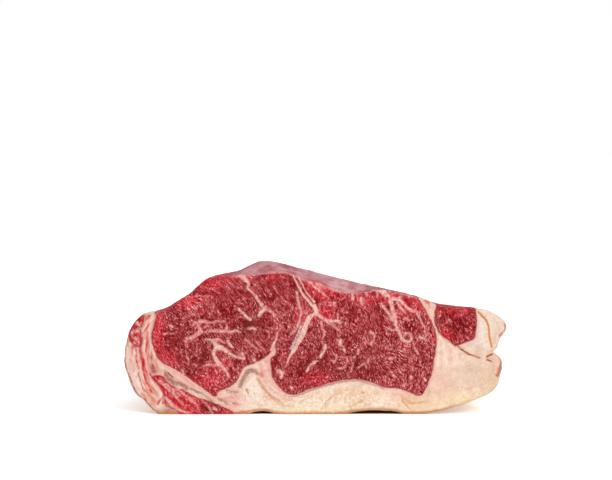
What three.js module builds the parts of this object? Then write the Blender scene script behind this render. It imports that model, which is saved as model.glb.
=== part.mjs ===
// A thick boneless cut of beef loin, resting on its layer of fat, with a knife-cut face front and back.
// It is one solid. Lengths are in millimetres, +Z is up, and the front cut face looks along -Y.
// The origin is the middle of the base.
import * as THREE from "three";

// Driving dimensions
const THICKNESS = 62; // from one cut face to the other
const EDGE_ROUND = 2.0; // radius of the soft corner where a cut face meets the outside
const MIDDLE = new THREE.Vector2(0, 40); // inside the section: every outline point is seen from here

// How finely the solid is faceted
const AROUND = 138; // facets round the outline
const NOTCH_CROWDING = 1.6; // how much closer the facets stand round the folded right-hand end
const FACE_SHARES = [0, 0.13, 0.27, 0.41, 0.54, 0.66, 0.77, 0.86]; // rings of a cut face, middle to rim
const CORNER_STEPS = 3; // rings round the soft corner
const SIDE_STEPS = 7; // rings along the outside, from corner to corner

// The front cut face, clockwise from the left foot, as [x, height].
const FRONT_OUTLINE = [
  // the rolled flank: thin sheets of fat and lean, wrapped round the left end
  [-95, 0], [-100, 3], [-105, 8.6], [-107.4, 9.6], [-110.6, 13.6], [-113.2, 18.4], [-113.8, 21],
  [-116, 27], [-116.8, 34], [-115.2, 44.2], [-111.2, 54.2], [-104.6, 60.2], [-92, 63],
  // the long slope of the main muscle, up to its corner
  [-76, 73.4], [-65.2, 82.6], [-55.9, 83.6], [-39, 85.2], [-26.4, 86.8], [-14.9, 85.8],
  // the top edge, which falls in shallow scallops towards the right
  [-8.5, 82.4], [1.3, 80.1], [10.5, 76], [28.3, 74.2], [36.6, 76.1], [50.4, 74.2],
  [63.9, 70.4], [73.1, 66.2], [96.9, 63.8],
  // the upper lobe of fat, then the notch where it folds against the lower one
  [105.6, 62.6], [112.4, 58.4], [115.9, 53.2], [114.4, 48.8], [111, 45.2], [109.8, 40.6],
  [105.6, 37], [110.4, 35.4], [113.2, 30], [111.8, 23.5], [110.4, 17.6],
  // the lower lobe curls up off the table
  [105.6, 13], [92.4, 7], [79.6, 3], [66, 0.4], [52, 0], [0, 0], [-50, 0],
];

// The back cut face. The same sheets and lobes run through, a little lower and softer.
const BACK_OUTLINE = [
  [-82, 0], [-96, 6], [-105, 18], [-108, 32], [-106, 46], [-99, 56.5], [-86, 63],
  [-73, 69.6], [-60, 76.4], [-50.5, 81.2], [-41, 86.2], [-33, 88.6], [-18, 86], [3.3, 80.8],
  [24, 75.4], [44, 70.3], [62, 65], [82, 58.8], [95, 55.4], [104, 50], [106.5, 44],
  [103.8, 38.5], [107, 33], [106, 23], [99, 13], [86, 5.6], [70, 0.6], [56, 0], [0, 0], [-45, 0],
];

// Where the layer of fat doesn't touch the table: shallow arches that run in from a cut face.
const ARCHES = [
  { x: -33, halfWidth: 12, height: 2.2, face: "front", depth: 26 },
  { x: 36, halfWidth: 26, height: 2.6, face: "front", depth: 34 },
  { x: 8, halfWidth: 20, height: 2.4, face: "back", depth: 20 },
];
const ARCH_REACH = 16; // height above the table at which an arch is no longer felt
const FOOT = 0.35; // what is lower than this lies flat on the table

// The cut muscles stand a little proud of the knife's plane, and the seams between them lie back.
const BELLIES = [
  { x: -58, z: 50, across: 34, up: 26, rise: 1.6 }, // main muscle
  { x: -8, z: 66, across: 17, up: 18, rise: 1.1 }, // its upper corner
  { x: 36, z: 43, across: 38, up: 27, rise: 1.7 }, // second muscle
  { x: 84, z: 52, across: 13, up: 12, rise: 1.2 }, // small dark muscle
  { x: -74, z: 12, across: 22, up: 9, rise: 1.0 }, // lean under the flank
  { x: -32, z: 20, across: 9, up: 12, rise: 0.9 }, // wedge of fat
];
const FLANK_SETBACK = { from: -94, to: -116, depth: 5 }; // the rolled flank turns away from the cut
const LOBE_SETBACK = { from: 97, to: 117, depth: 3.2 }; // and so does the far end of the fat
const SWELL = 1.0; // how far the outside bulges halfway between the cut faces

function closedCurve(outline) {
  const points = outline.map(([x, z]) => new THREE.Vector3(x, 0, z));
  return new THREE.CatmullRomCurve3(points, true, "centripetal");
}

// The outline as bearings from the middle, falling as it goes round, each with its reach.
function polarOutline(outline) {
  const points = closedCurve(outline).getPoints(outline.length * 40);
  const polar = points.map((point) => {
    const arm = new THREE.Vector2(point.x, Math.max(0, point.z)).sub(MIDDLE);
    return { bearing: Math.atan2(arm.y, arm.x), reach: arm.length() };
  });
  return polar.sort((a, b) => a.bearing - b.bearing);
}

function reachAt(polar, bearing) {
  const after = polar.findIndex((sample) => sample.bearing > bearing);
  const next = polar[Math.max(after, 0)];
  const last = polar[(Math.max(after, 0) + polar.length - 1) % polar.length];
  const turn = 2 * Math.PI;
  const span = (next.bearing - last.bearing + turn) % turn;
  const share = span > 0 ? ((bearing - last.bearing + turn) % turn) / span : 0;
  return THREE.MathUtils.lerp(last.reach, next.reach, share);
}

// Bearings of the facets' corners: evenly spaced along the front outline, but closer round the notch.
function facetBearings() {
  const points = closedCurve(FRONT_OUTLINE).getSpacedPoints(2400);
  const walked = [0];
  for (let k = 1; k < points.length; k++) {
    const crowding = points[k].x > 98 ? NOTCH_CROWDING : 1;
    walked.push(walked[k - 1] + points[k].distanceTo(points[k - 1]) * crowding);
  }
  const bearings = [];
  for (let i = 0; i < AROUND; i++) {
    const goal = (walked.at(-1) * i) / AROUND;
    const { x, z } = points[walked.findIndex((w) => w >= goal)];
    bearings.push(Math.atan2(Math.max(0, z) - MIDDLE.y, x - MIDDLE.x));
  }
  return bearings;
}

// One half of the profile, from the middle of a cut face to its rim: how far out, and how far from the face.
function faceRings() {
  const rings = FACE_SHARES.map((share) => ({ share, inset: 0, behindFace: 0 }));
  for (let step = 0; step <= CORNER_STEPS; step++) {
    const turn = (step / CORNER_STEPS) * (Math.PI / 2);
    rings.push({
      share: 1,
      inset: EDGE_ROUND * (1 - Math.sin(turn)),
      behindFace: EDGE_ROUND * (1 - Math.cos(turn)),
    });
  }
  return rings;
}

// All rings from the front face's middle to the back face's. depth is 0 in front and THICKNESS behind.
function profileRings() {
  const front = faceRings().map((ring) => ({ ...ring, depth: ring.behindFace }));
  const side = [];
  for (let step = 1; step < SIDE_STEPS; step++) {
    const depth = THREE.MathUtils.lerp(EDGE_ROUND, THICKNESS - EDGE_ROUND, step / SIDE_STEPS);
    side.push({ share: 1, inset: 0, depth });
  }
  const back = front.map((ring) => ({ ...ring, depth: THICKNESS - ring.depth })).reverse();
  return [...front, ...side, ...back];
}

// How far a cut face stands in front of the knife's plane at a place in the section.
function bellyRise(x, z) {
  let rise = 0;
  for (const belly of BELLIES) {
    const away = Math.hypot((x - belly.x) / belly.across, (z - belly.z) / belly.up);
    rise += belly.rise * Math.exp(-away * away * 1.6);
  }
  return rise;
}

function setback(x, { from, to, depth }) {
  const share = THREE.MathUtils.clamp((x - from) / (to - from), 0, 1);
  return depth * share * share;
}

// The slow unevenness of the outside, as a change of reach.
function unevenness(bearing, depth) {
  const waves =
    0.7 * Math.sin(5 * bearing + depth * 0.07) +
    0.5 * Math.sin(9 * bearing - depth * 0.11 + 1.3) +
    0.35 * Math.sin(2 * bearing + depth * 0.17 + 2.1);
  const betweenFaces = Math.sin((Math.PI * depth) / THICKNESS);
  return (waves + SWELL) * betweenFaces;
}

function archLift(x, z, depth) {
  let lift = 0;
  for (const arch of ARCHES) {
    const fromFace = arch.face === "front" ? depth : THICKNESS - depth;
    const across = (x - arch.x) / arch.halfWidth;
    if (Math.abs(across) < 1 && fromFace < arch.depth) {
      const hump = Math.cos((across * Math.PI) / 2) ** 2;
      lift += arch.height * hump * Math.cos(((fromFace / arch.depth) * Math.PI) / 2);
    }
  }
  return lift * THREE.MathUtils.clamp(1 - z / ARCH_REACH, 0, 1);
}

// A corner of the solid, for a bearing and a ring of the profile.
function cornerPoint(bearing, ring, frontPolar, backPolar) {
  const through = ring.depth / THICKNESS;
  const blend = THREE.MathUtils.smoothstep(through, 0, 1);
  const reach =
    THREE.MathUtils.lerp(reachAt(frontPolar, bearing), reachAt(backPolar, bearing), blend) +
    unevenness(bearing, ring.depth);
  const out = Math.max(0, reach * ring.share - ring.inset);
  const x = MIDDLE.x + out * Math.cos(bearing);
  let z = MIDDLE.y + out * Math.sin(bearing);
  z += archLift(x, z, ring.depth);
  if (z < FOOT) z = 0;

  const faceShare = Math.abs(2 * through - 1) ** 3; // 1 on a cut face, 0 halfway
  const towardsViewer = through < 0.5 ? -1 : 1;
  const proud = ring.share < 1 ? bellyRise(x, z) : 0;
  const back = setback(x, FLANK_SETBACK) + setback(x, LOBE_SETBACK);
  const y = ring.depth - THICKNESS / 2 + towardsViewer * faceShare * (proud - back);
  return new THREE.Vector3(x, y, z);
}

// A lathe-turned disc gives closed faces all round. Each of its corners then moves to its place on the meat.
function meatGeometry() {
  const rings = profileRings();
  const bearings = facetBearings();
  const frontPolar = polarOutline(FRONT_OUTLINE);
  const backPolar = polarOutline(BACK_OUTLINE);
  const disc = rings.map((ring) => new THREE.Vector2(ring.share - ring.inset / THICKNESS, ring.depth));
  const geometry = new THREE.LatheGeometry(disc, AROUND);
  const position = geometry.getAttribute("position");
  for (let i = 0; i <= AROUND; i++) {
    rings.forEach((ring, j) => {
      const corner = cornerPoint(bearings[i % AROUND], ring, frontPolar, backPolar);
      position.setXYZ(i * rings.length + j, corner.x, corner.y, corner.z);
    });
  }
  geometry.computeBoundingBox();
  const { min, max } = geometry.boundingBox;
  geometry.translate(-(min.x + max.x) / 2, -(min.y + max.y) / 2, -min.z);
  geometry.computeVertexNormals();
  return geometry;
}

function beefLoin() {
  const rawBeef = new THREE.MeshStandardMaterial({ color: 0xa8404a, roughness: 0.38, metalness: 0 });
  const mesh = new THREE.Mesh(meatGeometry(), rawBeef);
  mesh.name = "beef_loin";
  return mesh;
}

const group = new THREE.Group();
group.add(beefLoin());

export default group;
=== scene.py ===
# %% [markdown]
# # A thick cut of raw beef loin
#
# The real thing is one piece of meat, sawn and then knifed straight across the loin. Both cut faces show
# the same muscles side by side, parted by pale seams, with a cap of fat under them and a rolled flank.
# The solid from the CAD program already has the outline, the thickness and the flat foot. What is missing
# is everything that makes it look like meat, and this lesson adds that in two layers: a finer mesh with
# real relief, and one procedural material that reads a map of the muscles.

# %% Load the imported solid
import math
import bmesh
import bpy
import numpy as np
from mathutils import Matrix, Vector, noise
from mathutils.bvhtree import BVHTree


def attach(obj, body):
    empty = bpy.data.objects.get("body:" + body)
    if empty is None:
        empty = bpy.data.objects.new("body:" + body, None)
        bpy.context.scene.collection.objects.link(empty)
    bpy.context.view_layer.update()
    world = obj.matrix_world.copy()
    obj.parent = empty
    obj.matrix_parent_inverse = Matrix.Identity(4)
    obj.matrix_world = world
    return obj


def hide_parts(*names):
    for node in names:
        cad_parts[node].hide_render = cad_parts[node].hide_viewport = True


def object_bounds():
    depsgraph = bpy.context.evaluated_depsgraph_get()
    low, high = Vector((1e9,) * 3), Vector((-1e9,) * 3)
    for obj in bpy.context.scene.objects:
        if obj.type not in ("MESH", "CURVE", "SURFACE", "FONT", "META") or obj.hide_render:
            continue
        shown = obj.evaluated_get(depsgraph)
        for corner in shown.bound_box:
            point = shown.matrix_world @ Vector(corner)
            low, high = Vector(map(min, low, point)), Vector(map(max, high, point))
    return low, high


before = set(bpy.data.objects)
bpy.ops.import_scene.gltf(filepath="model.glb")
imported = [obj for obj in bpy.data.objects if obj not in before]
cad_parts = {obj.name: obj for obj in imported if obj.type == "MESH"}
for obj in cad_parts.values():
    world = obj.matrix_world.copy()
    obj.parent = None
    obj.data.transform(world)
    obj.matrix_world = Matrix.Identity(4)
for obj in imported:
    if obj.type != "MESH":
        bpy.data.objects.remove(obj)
CAD_LOW, CAD_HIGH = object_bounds()
MM = 0.001  # metres in a millimetre
print("CAD box, mm:", [round(side / MM, 1) for side in CAD_HIGH - CAD_LOW])

# %% [markdown]
# ## The camera
#
# The photo looks at the front cut almost level, from about an arm's length and a half away. A long lens
# from further off would hide the strip of the top that shows behind the front edge, and a short one close
# up would show too much of it, so the distance was found from that strip. The camera stands a little left
# of the middle, because the meat sits right of the middle of the picture.

# %% Camera at the photo's viewing angle
CAMERA_SIDE = -5.7  # mm: x
CAMERA_BACK = -931.0  # mm: y
CAMERA_HEIGHT = 161.0  # mm: z
LOOKS_DOWN = math.radians(3.5)
SENSOR_WIDTH = 36.0  # mm
LENS = 88.2  # mm
SEES_TO = 60.0  # m, which is beyond the edge of the table

camera_data = bpy.data.cameras.new("camera")
camera_data.sensor_width = SENSOR_WIDTH
camera_data.lens = LENS
camera_data.clip_end = SEES_TO
camera = bpy.data.objects.new("camera", camera_data)
camera.location = Vector((CAMERA_SIDE, CAMERA_BACK, CAMERA_HEIGHT)) * MM
camera.rotation_euler = (math.pi / 2 - LOOKS_DOWN, 0, 0)
bpy.context.scene.collection.objects.link(camera)
bpy.context.scene.camera = camera
print("camera at", tuple(round(c, 3) for c in camera.location))

# %% [markdown]
# ## The table and the light
#
# The meat stands on a white table in a white room, so that the table and the wall run into each other and
# only a faint shadow is left. If the whole room were that bright, every wet surface would mirror it, and
# the dark reds would turn milky. So the room is white to look at, but as a light it is a bright ceiling
# over dim walls. The table glows a little, as a lit acrylic table does, which keeps the shadows faint. The
# part that the meat covers doesn't glow, and its dark reddish brown is painted shade with a painted warm
# reflection of the meat, so the gaps between fat and table stay dark and warm. A soft sun adds direction
# from the upper right, and one small lamp gives moist meat its glints.

# %% A table that glows all round the meat
TABLE_SIZE = 30.0  # m from the middle to an edge
WHITE_TABLE = (0.93, 0.92, 0.91, 1)
TABLE_ROUGHNESS = 0.85
TABLE_GLOW = 0.34
# painted shade and a painted warm reflection of the meat, on the part of the table that the meat covers
COVERED_SHADE_BROWN = (0.50, 0.22, 0.15, 1)
COVERED_X = (-80 * MM, 58 * MM)  # the part of the table that the meat covers
COVERED_Y = (-28 * MM, 28 * MM)
COVERED_AREA = 1.0  # square metres: only the covered part is smaller than this


def table_material(name, colour, glow):
    material = bpy.data.materials.new(name)
    material.use_nodes = True
    shader = material.node_tree.nodes["Principled BSDF"]
    shader.inputs["Base Color"].default_value = colour
    shader.inputs["Roughness"].default_value = TABLE_ROUGHNESS
    shader.inputs["Emission Color"].default_value = (1, 1, 1, 1)
    shader.inputs["Emission Strength"].default_value = glow
    return material


table_shape = bmesh.new()
bmesh.ops.create_grid(table_shape, x_segments=3, y_segments=3, size=TABLE_SIZE)
for corner in table_shape.verts:
    if abs(corner.co.x) < TABLE_SIZE / 2:
        corner.co.x = COVERED_X[corner.co.x > 0]
    if abs(corner.co.y) < TABLE_SIZE / 2:
        corner.co.y = COVERED_Y[corner.co.y > 0]
for face in table_shape.faces:
    face.material_index = int(face.calc_area() < COVERED_AREA)
table_mesh = bpy.data.meshes.new("white_table")
table_shape.to_mesh(table_mesh)
table_shape.free()
table = bpy.data.objects.new("white_table", table_mesh)
table.data.materials.append(table_material("lit table", WHITE_TABLE, TABLE_GLOW))
table.data.materials.append(table_material("covered table", COVERED_SHADE_BROWN, 0.0))
bpy.context.scene.collection.objects.link(table)

# %% A white room with a bright ceiling, a soft sun and a lamp
CEILING_LIGHT = 0.85
WALL_LIGHT = 0.2
CEILING_FROM, CEILING_TO = 0.25, 0.75  # sines of the elevations where walls end and ceiling begins
SUN_STRENGTH = 1.1
SUN_WIDTH = math.radians(50)
SUN_PLACE = (0, 0, 2)  # anywhere does, as only a sun's direction counts
SUN_DIRECTION = (-0.45, 0.75, -1.15)
LAMP_SIZE = 0.22  # m
LAMP_POWER = 2.6  # W
LAMP_PLACE = Vector((0.50, -0.75, 0.62))
LAMP_AIM = Vector((0, 0, 0.04))


def hung_light(light, place, direction):
    holder = bpy.data.objects.new(light.name, light)
    holder.location = place
    holder.rotation_euler = Vector(direction).to_track_quat("-Z", "Y").to_euler()
    bpy.context.scene.collection.objects.link(holder)
    return holder


world = bpy.data.worlds.new("white room")
world.use_nodes = True
room = world.node_tree
background = room.nodes["Background"]
background.inputs["Color"].default_value = (1, 1, 1, 1)
direction = room.nodes.new("ShaderNodeTexCoord")
parts = room.nodes.new("ShaderNodeSeparateXYZ")
room.links.new(direction.outputs["Generated"], parts.inputs[0])
dome = room.nodes.new("ShaderNodeMapRange")
room.links.new(parts.outputs["Z"], dome.inputs["Value"])
for socket, setting in zip(dome.inputs[1:5], (CEILING_FROM, CEILING_TO, WALL_LIGHT, CEILING_LIGHT)):
    socket.default_value = setting
rays = room.nodes.new("ShaderNodeLightPath")
seen = room.nodes.new("ShaderNodeMix")
room.links.new(rays.outputs["Is Camera Ray"], seen.inputs["Factor"])
room.links.new(dome.outputs["Result"], seen.inputs["A"])
seen.inputs["B"].default_value = 1.0
room.links.new(seen.outputs["Result"], background.inputs["Strength"])
bpy.context.scene.world = world
bpy.context.scene.view_settings.view_transform = "Standard"

sun = bpy.data.lights.new("soft sun", "SUN")
sun.energy = SUN_STRENGTH
sun.angle = SUN_WIDTH
hung_light(sun, SUN_PLACE, SUN_DIRECTION)
lamp = bpy.data.lights.new("glint lamp", "AREA")
lamp.size = LAMP_SIZE
lamp.energy = LAMP_POWER
hung_light(lamp, LAMP_PLACE, LAMP_AIM - LAMP_PLACE)
print("lights:", [light.name for light in (sun, lamp)])

# %% [markdown]
# ## A finer skin over the solid
#
# The solid has facets about 3 mm wide, too coarse for seams and fibres. A voxel remesh of a copy gives an
# even net of small squares all over, which takes relief well, and it forgets the solid's fan of long
# triangles. Only the two cut faces carry fine detail, so only they are divided once more.

# %% Remesh a merged copy, and divide the cut faces again
VOXEL = 1.3 * MM
SAME_PLACE = 0.01 * MM
SMOOTHINGS = 6
SMOOTH_IN, SMOOTH_OUT = 0.5, -0.52  # each pass shrinks the shape a little, then swells it back
CUT_FACE = 0.8  # faces that look this much along Y are part of a cut

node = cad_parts["beef_loin"]
coarse = bpy.data.meshes.new("coarse")
shape = bmesh.new()
shape.from_mesh(node.data)
bmesh.ops.remove_doubles(shape, verts=shape.verts, dist=SAME_PLACE)
shape.to_mesh(coarse)
solid_rays = BVHTree.FromBMesh(shape)
shape.free()

loin = bpy.data.objects.new("raw_beef_loin", coarse)
bpy.context.scene.collection.objects.link(loin)
remesh = loin.modifiers.new("even squares", "REMESH")
remesh.mode = "VOXEL"
remesh.voxel_size = VOXEL
depsgraph = bpy.context.evaluated_depsgraph_get()
squares = bpy.data.meshes.new_from_object(loin.evaluated_get(depsgraph))
loin.modifiers.clear()

shape = bmesh.new()
shape.from_mesh(squares)
for factor in (SMOOTH_IN, SMOOTH_OUT) * SMOOTHINGS:
    bmesh.ops.smooth_vert(
        shape, verts=shape.verts, factor=factor, use_axis_x=True, use_axis_y=True, use_axis_z=True
    )
shape.normal_update()
cut_edges = {edge for face in shape.faces if abs(face.normal.y) > CUT_FACE for edge in face.edges}
bmesh.ops.subdivide_edges(shape, edges=list(cut_edges), cuts=1, use_grid_fill=True)
bmesh.ops.triangulate(shape, faces=[face for face in shape.faces if len(face.verts) > 4])
shape.to_mesh(squares)
shape.free()
loin.data = squares
print("vertices:", len(squares.vertices), "triangles:", sum(len(p.vertices) - 2 for p in squares.polygons))

# %% [markdown]
# ## A place in the section for every vertex
#
# Muscles and seams run through the meat from front to back, so one drawing of the section serves for the
# whole piece. Each vertex looks up its place in that drawing: on the front face that is simply its own x
# and height. Further back the outline is a little smaller, and the place is scaled by the same amount. A
# slow drift is added with the depth, so that the back shows the same muscles but never the same picture.

# %% Helpers for noise and for soft steps
ACROSS_UP = (0, 2)  # the two coordinates of a section


def cloud(points, size, seed):
    """Smooth noise from -1 to 1 at points in millimetres, with lumps about size across.

    The seed is any number, and another one gives another noise of the same size.
    """
    scaled = np.asarray(points, float) / size + seed
    return np.array([noise.noise(point) for point in scaled])


def soft_step(value, low, high):
    share = np.clip((value - low) / (high - low), 0, 1)
    return share * share * (3 - 2 * share)


def bump_at(distance, width):
    """1 on a line and 0 away from it, as a smooth hill."""
    return np.exp(-((distance / width) ** 2))


# %% Measure the outline near each cut, and look the places up
MIDDLE = np.array((0.0, 40.0))  # x and height, mm: every outline point is seen from here
MEASURED_AT = 22.0  # mm in front of and behind the middle
BEARINGS = np.linspace(-math.pi, math.pi, 361)  # one for each degree


def reach_at_depth(y):
    """How far the outside is from the middle, for each bearing, in millimetres."""
    reach = []
    start = Vector((MIDDLE[0] * MM, y * MM, MIDDLE[1] * MM))
    for bearing in BEARINGS:
        hit = solid_rays.ray_cast(start, Vector((math.cos(bearing), 0, math.sin(bearing))))
        reach.append(hit[3] / MM)
    return np.array(reach)


reach_front = reach_at_depth(-MEASURED_AT)
reach_back = reach_at_depth(MEASURED_AT)

count = len(squares.vertices)
flat = np.zeros(count * 3, np.float32)
squares.vertices.foreach_get("co", flat)
co = flat.reshape(-1, 3).astype(float) / MM
squares.vertex_normals.foreach_get("vector", flat)
out = flat.reshape(-1, 3).astype(float).copy()

depth = np.clip((co[:, 1] + MEASURED_AT) / (2 * MEASURED_AT), 0, 1)  # 0 at the front, 1 at the back
arm = co[:, ACROSS_UP] - MIDDLE
bearing = np.arctan2(arm[:, 1], arm[:, 0])
reach_here = np.interp(bearing, BEARINGS, reach_front) * (1 - depth)
reach_here += np.interp(bearing, BEARINGS, reach_back) * depth
share = np.linalg.norm(arm, axis=1) / reach_here  # 0 in the middle of the section, 1 at its edge
scale = np.interp(bearing, BEARINGS, reach_front) / reach_here

DRIFT = 5.0  # mm that a seam wanders by the time it reaches the back
DRIFT_LUMPS = 38  # mm from one drift to the next
OUTSIDE_TO, CUT_FROM = 0.35, 0.75  # how much a surface looks along Y: less is outside, more is a cut
inward = 1 - share**4  # 1 inside, 0 at the outline, which doesn't drift
wander = np.column_stack((cloud(co, DRIFT_LUMPS, 3.1), cloud(co, DRIFT_LUMPS, 8.7)))
places = MIDDLE + arm * scale[:, None] + wander * (DRIFT * depth * inward)[:, None]
cut = soft_step(np.abs(out[:, 1]), OUTSIDE_TO, CUT_FROM)  # 1 on the two cut faces, 0 on the outside
print("section reaches, mm:", round(reach_front.min()), "to", round(reach_front.max()))

# %% [markdown]
# ## From the photo to the cut
#
# The edges of the muscles and the larger veins were read off enlarged parts of the photo, and are
# written here as places in its pixels. The same camera turns such a place back into a real one: a ray from
# the camera through the pixel meets the knife's plane at one x and one height. So every mark can be checked
# against the photo directly, and everything after this cell is in millimetres again.

# %% A ray from the camera, cut with the plane of the front face
PHOTO_WIDTH, PHOTO_HEIGHT = 612, 480  # pixels
CUT_PLANE = -31.5  # mm: y of the front cut, halfway up its swell
pixels_across = LENS / SENSOR_WIDTH * PHOTO_WIDTH  # a thing as far away as it is wide shows this many
PIXEL = (CUT_PLANE - CAMERA_BACK) / pixels_across  # mm on the cut


def on_cut(pixels):
    """x and height, in millimetres, of the places on the front cut that the photo shows at these pixels."""
    pixels = np.array(pixels, float)
    right = (pixels[:, 0] - PHOTO_WIDTH / 2) / pixels_across
    up = (PHOTO_HEIGHT / 2 - pixels[:, 1]) / pixels_across
    ahead = math.cos(LOOKS_DOWN) + up * math.sin(LOOKS_DOWN)
    rise = up * math.cos(LOOKS_DOWN) - math.sin(LOOKS_DOWN)
    reach = (CUT_PLANE - CAMERA_BACK) / ahead
    return np.column_stack((CAMERA_SIDE + right * reach, CAMERA_HEIGHT + rise * reach))


print("a pixel of the photo is", round(PIXEL, 3), "mm of the cut")

# %% [markdown]
# ## Drawing the muscles
#
# A muscle's edge is a closed curve through a few points. What the material needs is not the curve but the
# distance to it: a distance changes evenly from vertex to vertex, so the edge stays crisp between two of
# them, and noise added to it makes a torn, natural edge.

# %% Curves, and distances to them
STEP = 0.25  # mm between the points of a drawn curve
CHUNK = 4000  # vertices measured at a time
FAR = 12.0  # mm: distances beyond this are all the same to the material
TINY = 1e-9


def curve(points, closed=False):
    """A smooth curve through the points."""
    p = np.array(points, float)
    if closed:
        p = np.vstack((p[-1:], p, p[:2]))
    else:
        p = np.vstack((2 * p[0] - p[1], p, 2 * p[-1] - p[-2]))
    pieces = []
    for before, start, end, after in zip(p, p[1:], p[2:], p[3:]):
        length = np.linalg.norm(end - start)
        leave = (end - before) * length / (length + np.linalg.norm(start - before))
        arrive = (after - start) * length / (length + np.linalg.norm(after - end))
        t = np.linspace(0, 1, max(2, int(length / STEP)), endpoint=False)[:, None]
        hermite = (2 * t**3 - 3 * t**2 + 1) * start + (t**3 - 2 * t**2 + t) * leave
        hermite += (3 * t**2 - 2 * t**3) * end + (t**3 - t**2) * arrive
        pieces.append(hermite)
    if not closed:
        pieces.append(p[-2:-1])
    return np.vstack(pieces)


def nearest(spots, line):
    """Distance from each spot to the line, and which point of the line is the nearest."""
    distance = np.empty(len(spots))
    index = np.empty(len(spots), int)
    for first in range(0, len(spots), CHUNK):
        part = spots[first : first + CHUNK]
        gaps = ((part[:, None, :] - line[None, :, :]) ** 2).sum(axis=2)
        index[first : first + CHUNK] = gaps.argmin(axis=1)
        distance[first : first + CHUNK] = np.sqrt(gaps.min(axis=1))
    return distance, index


def inside(spots, line):
    """Whether each spot is inside the closed line: a ray to the right crosses it an odd number of times."""
    crossings = np.zeros(len(spots), int)
    for start, end in zip(line, np.roll(line, -1, axis=0)):
        spans = (start[1] > spots[:, 1]) != (end[1] > spots[:, 1])
        rise = end[1] - start[1] if end[1] != start[1] else TINY
        crossing_x = start[0] + (spots[:, 1] - start[1]) * (end[0] - start[0]) / rise
        crossings += spans & (spots[:, 0] < crossing_x)
    return crossings % 2 == 1


def close_to(spots, line, margin):
    return np.all((spots > line.min(axis=0) - margin) & (spots < line.max(axis=0) + margin), axis=1)


def signed(spots, pixels):
    """Distance to a closed curve, above 0 inside it."""
    line = curve(on_cut(pixels), closed=True)
    near = close_to(spots, line, FAR)
    result = np.full(len(spots), -FAR)
    distance, _ = nearest(spots[near], line)
    result[near] = np.where(inside(spots[near], line), distance, -distance)
    return np.clip(result, -FAR, FAR)


def stroke_gaps(spots, strokes):
    """Distance to the edge of the nearest stroke, under 0 inside one, and the tone of that stroke."""
    gap = np.full(len(spots), FAR)
    tone = np.zeros(len(spots))
    for first_width, last_width, *own_tone, pixels in strokes:
        line = curve(on_cut(pixels))
        half_widths = np.linspace(first_width, last_width, len(line)) * PIXEL / 2
        near = np.flatnonzero(close_to(spots, line, FAR / 2))
        distance, index = nearest(spots[near], line)
        edge = distance - half_widths[index]
        closer = edge < gap[near]
        gap[near[closer]] = edge[closer]
        tone[near[closer]] = sum(own_tone)
    return gap, tone


gap_of, tone_of = {}, {}  # for each kind of mark, the distances to it and its tones


def measure(name, spots, strokes):
    gap_of[name], tone_of[name] = stroke_gaps(spots, strokes)


# %% The muscles' edges, in pixels of the photo
MAIN_MUSCLE = [
    (152.5, 309), (160, 302), (196, 276), (232, 265), (266, 260.5), (296, 269), (300, 290), (309, 302),
    (312.5, 311), (308, 321), (302, 335), (294, 349), (285, 351), (277, 338.5), (275, 344.5), (271, 352),
    (262, 359.5), (253, 364), (244.5, 367.5), (240.5, 374), (236.5, 382), (228, 387.8), (220, 391),
    (215.5, 396.8), (207, 391.5), (199, 386), (186, 376.5), (172, 368), (160, 361.5), (154.8, 352.5),
    (151.8, 343.5), (151.3, 334.5), (153.6, 325), (155.6, 315.5),
]
SECOND_MUSCLE = [
    (297, 269), (330, 270), (360, 280), (400, 284), (414.7, 293), (421.6, 303.6), (425.7, 310.1),
    (429, 316.6), (433, 324), (436.7, 336.2), (436.9, 343.5), (435.9, 351.7), (434.1, 362), (433, 370.4),
    (430.6, 377.7), (425.7, 389.9), (422.5, 394.8), (417.6, 396), (412.7, 394), (407, 391.5),
    (401.3, 389.5), (393, 388.4), (384, 387.6), (376, 384.6), (368, 381.6), (361, 380.2), (350, 379.4),
    (335, 382), (320, 386.2), (306, 390.8), (297, 394.6), (287, 393.9), (279, 387), (273, 378.5),
    (270.8, 368), (271, 358), (275.4, 354.3), (276, 341), (286, 342), (297, 331), (303, 317), (299.5, 301),
]
SMALL_DARK_MUSCLE = [
    (437.4, 301), (455, 302), (474, 304.5), (476.4, 311.8), (477, 317.5), (477, 324), (475.8, 332.1),
    (475.4, 337), (471.3, 341.1), (465.6, 342.9), (458.3, 345.6), (455, 346), (450.1, 341.9), (443.6, 337),
    (438.7, 332.1), (435.5, 325.6), (434.3, 319.1), (434.7, 312.6), (436, 307),
]
LEAN_UNDER_FLANK = [
    (151, 377.5), (156, 375.5), (162.5, 376), (166.5, 381), (171.5, 385.3), (185, 390.8), (196, 396.5),
    (205, 399.5), (215, 403.4), (224, 407.2), (232, 411), (236.5, 418), (182, 420), (177, 411),
    (170, 408.4), (165, 405.6), (164.2, 399), (162.4, 392), (157.5, 384.5),
]
LEAN_IN_FLANK = [
    (137.5, 317.6), (144.4, 316.2), (142.8, 323.4), (140.4, 329.4), (140.6, 336), (141, 345), (137, 347.5),
    (130.6, 344), (127.4, 337.6), (129, 330), (131.8, 323),
]
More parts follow.
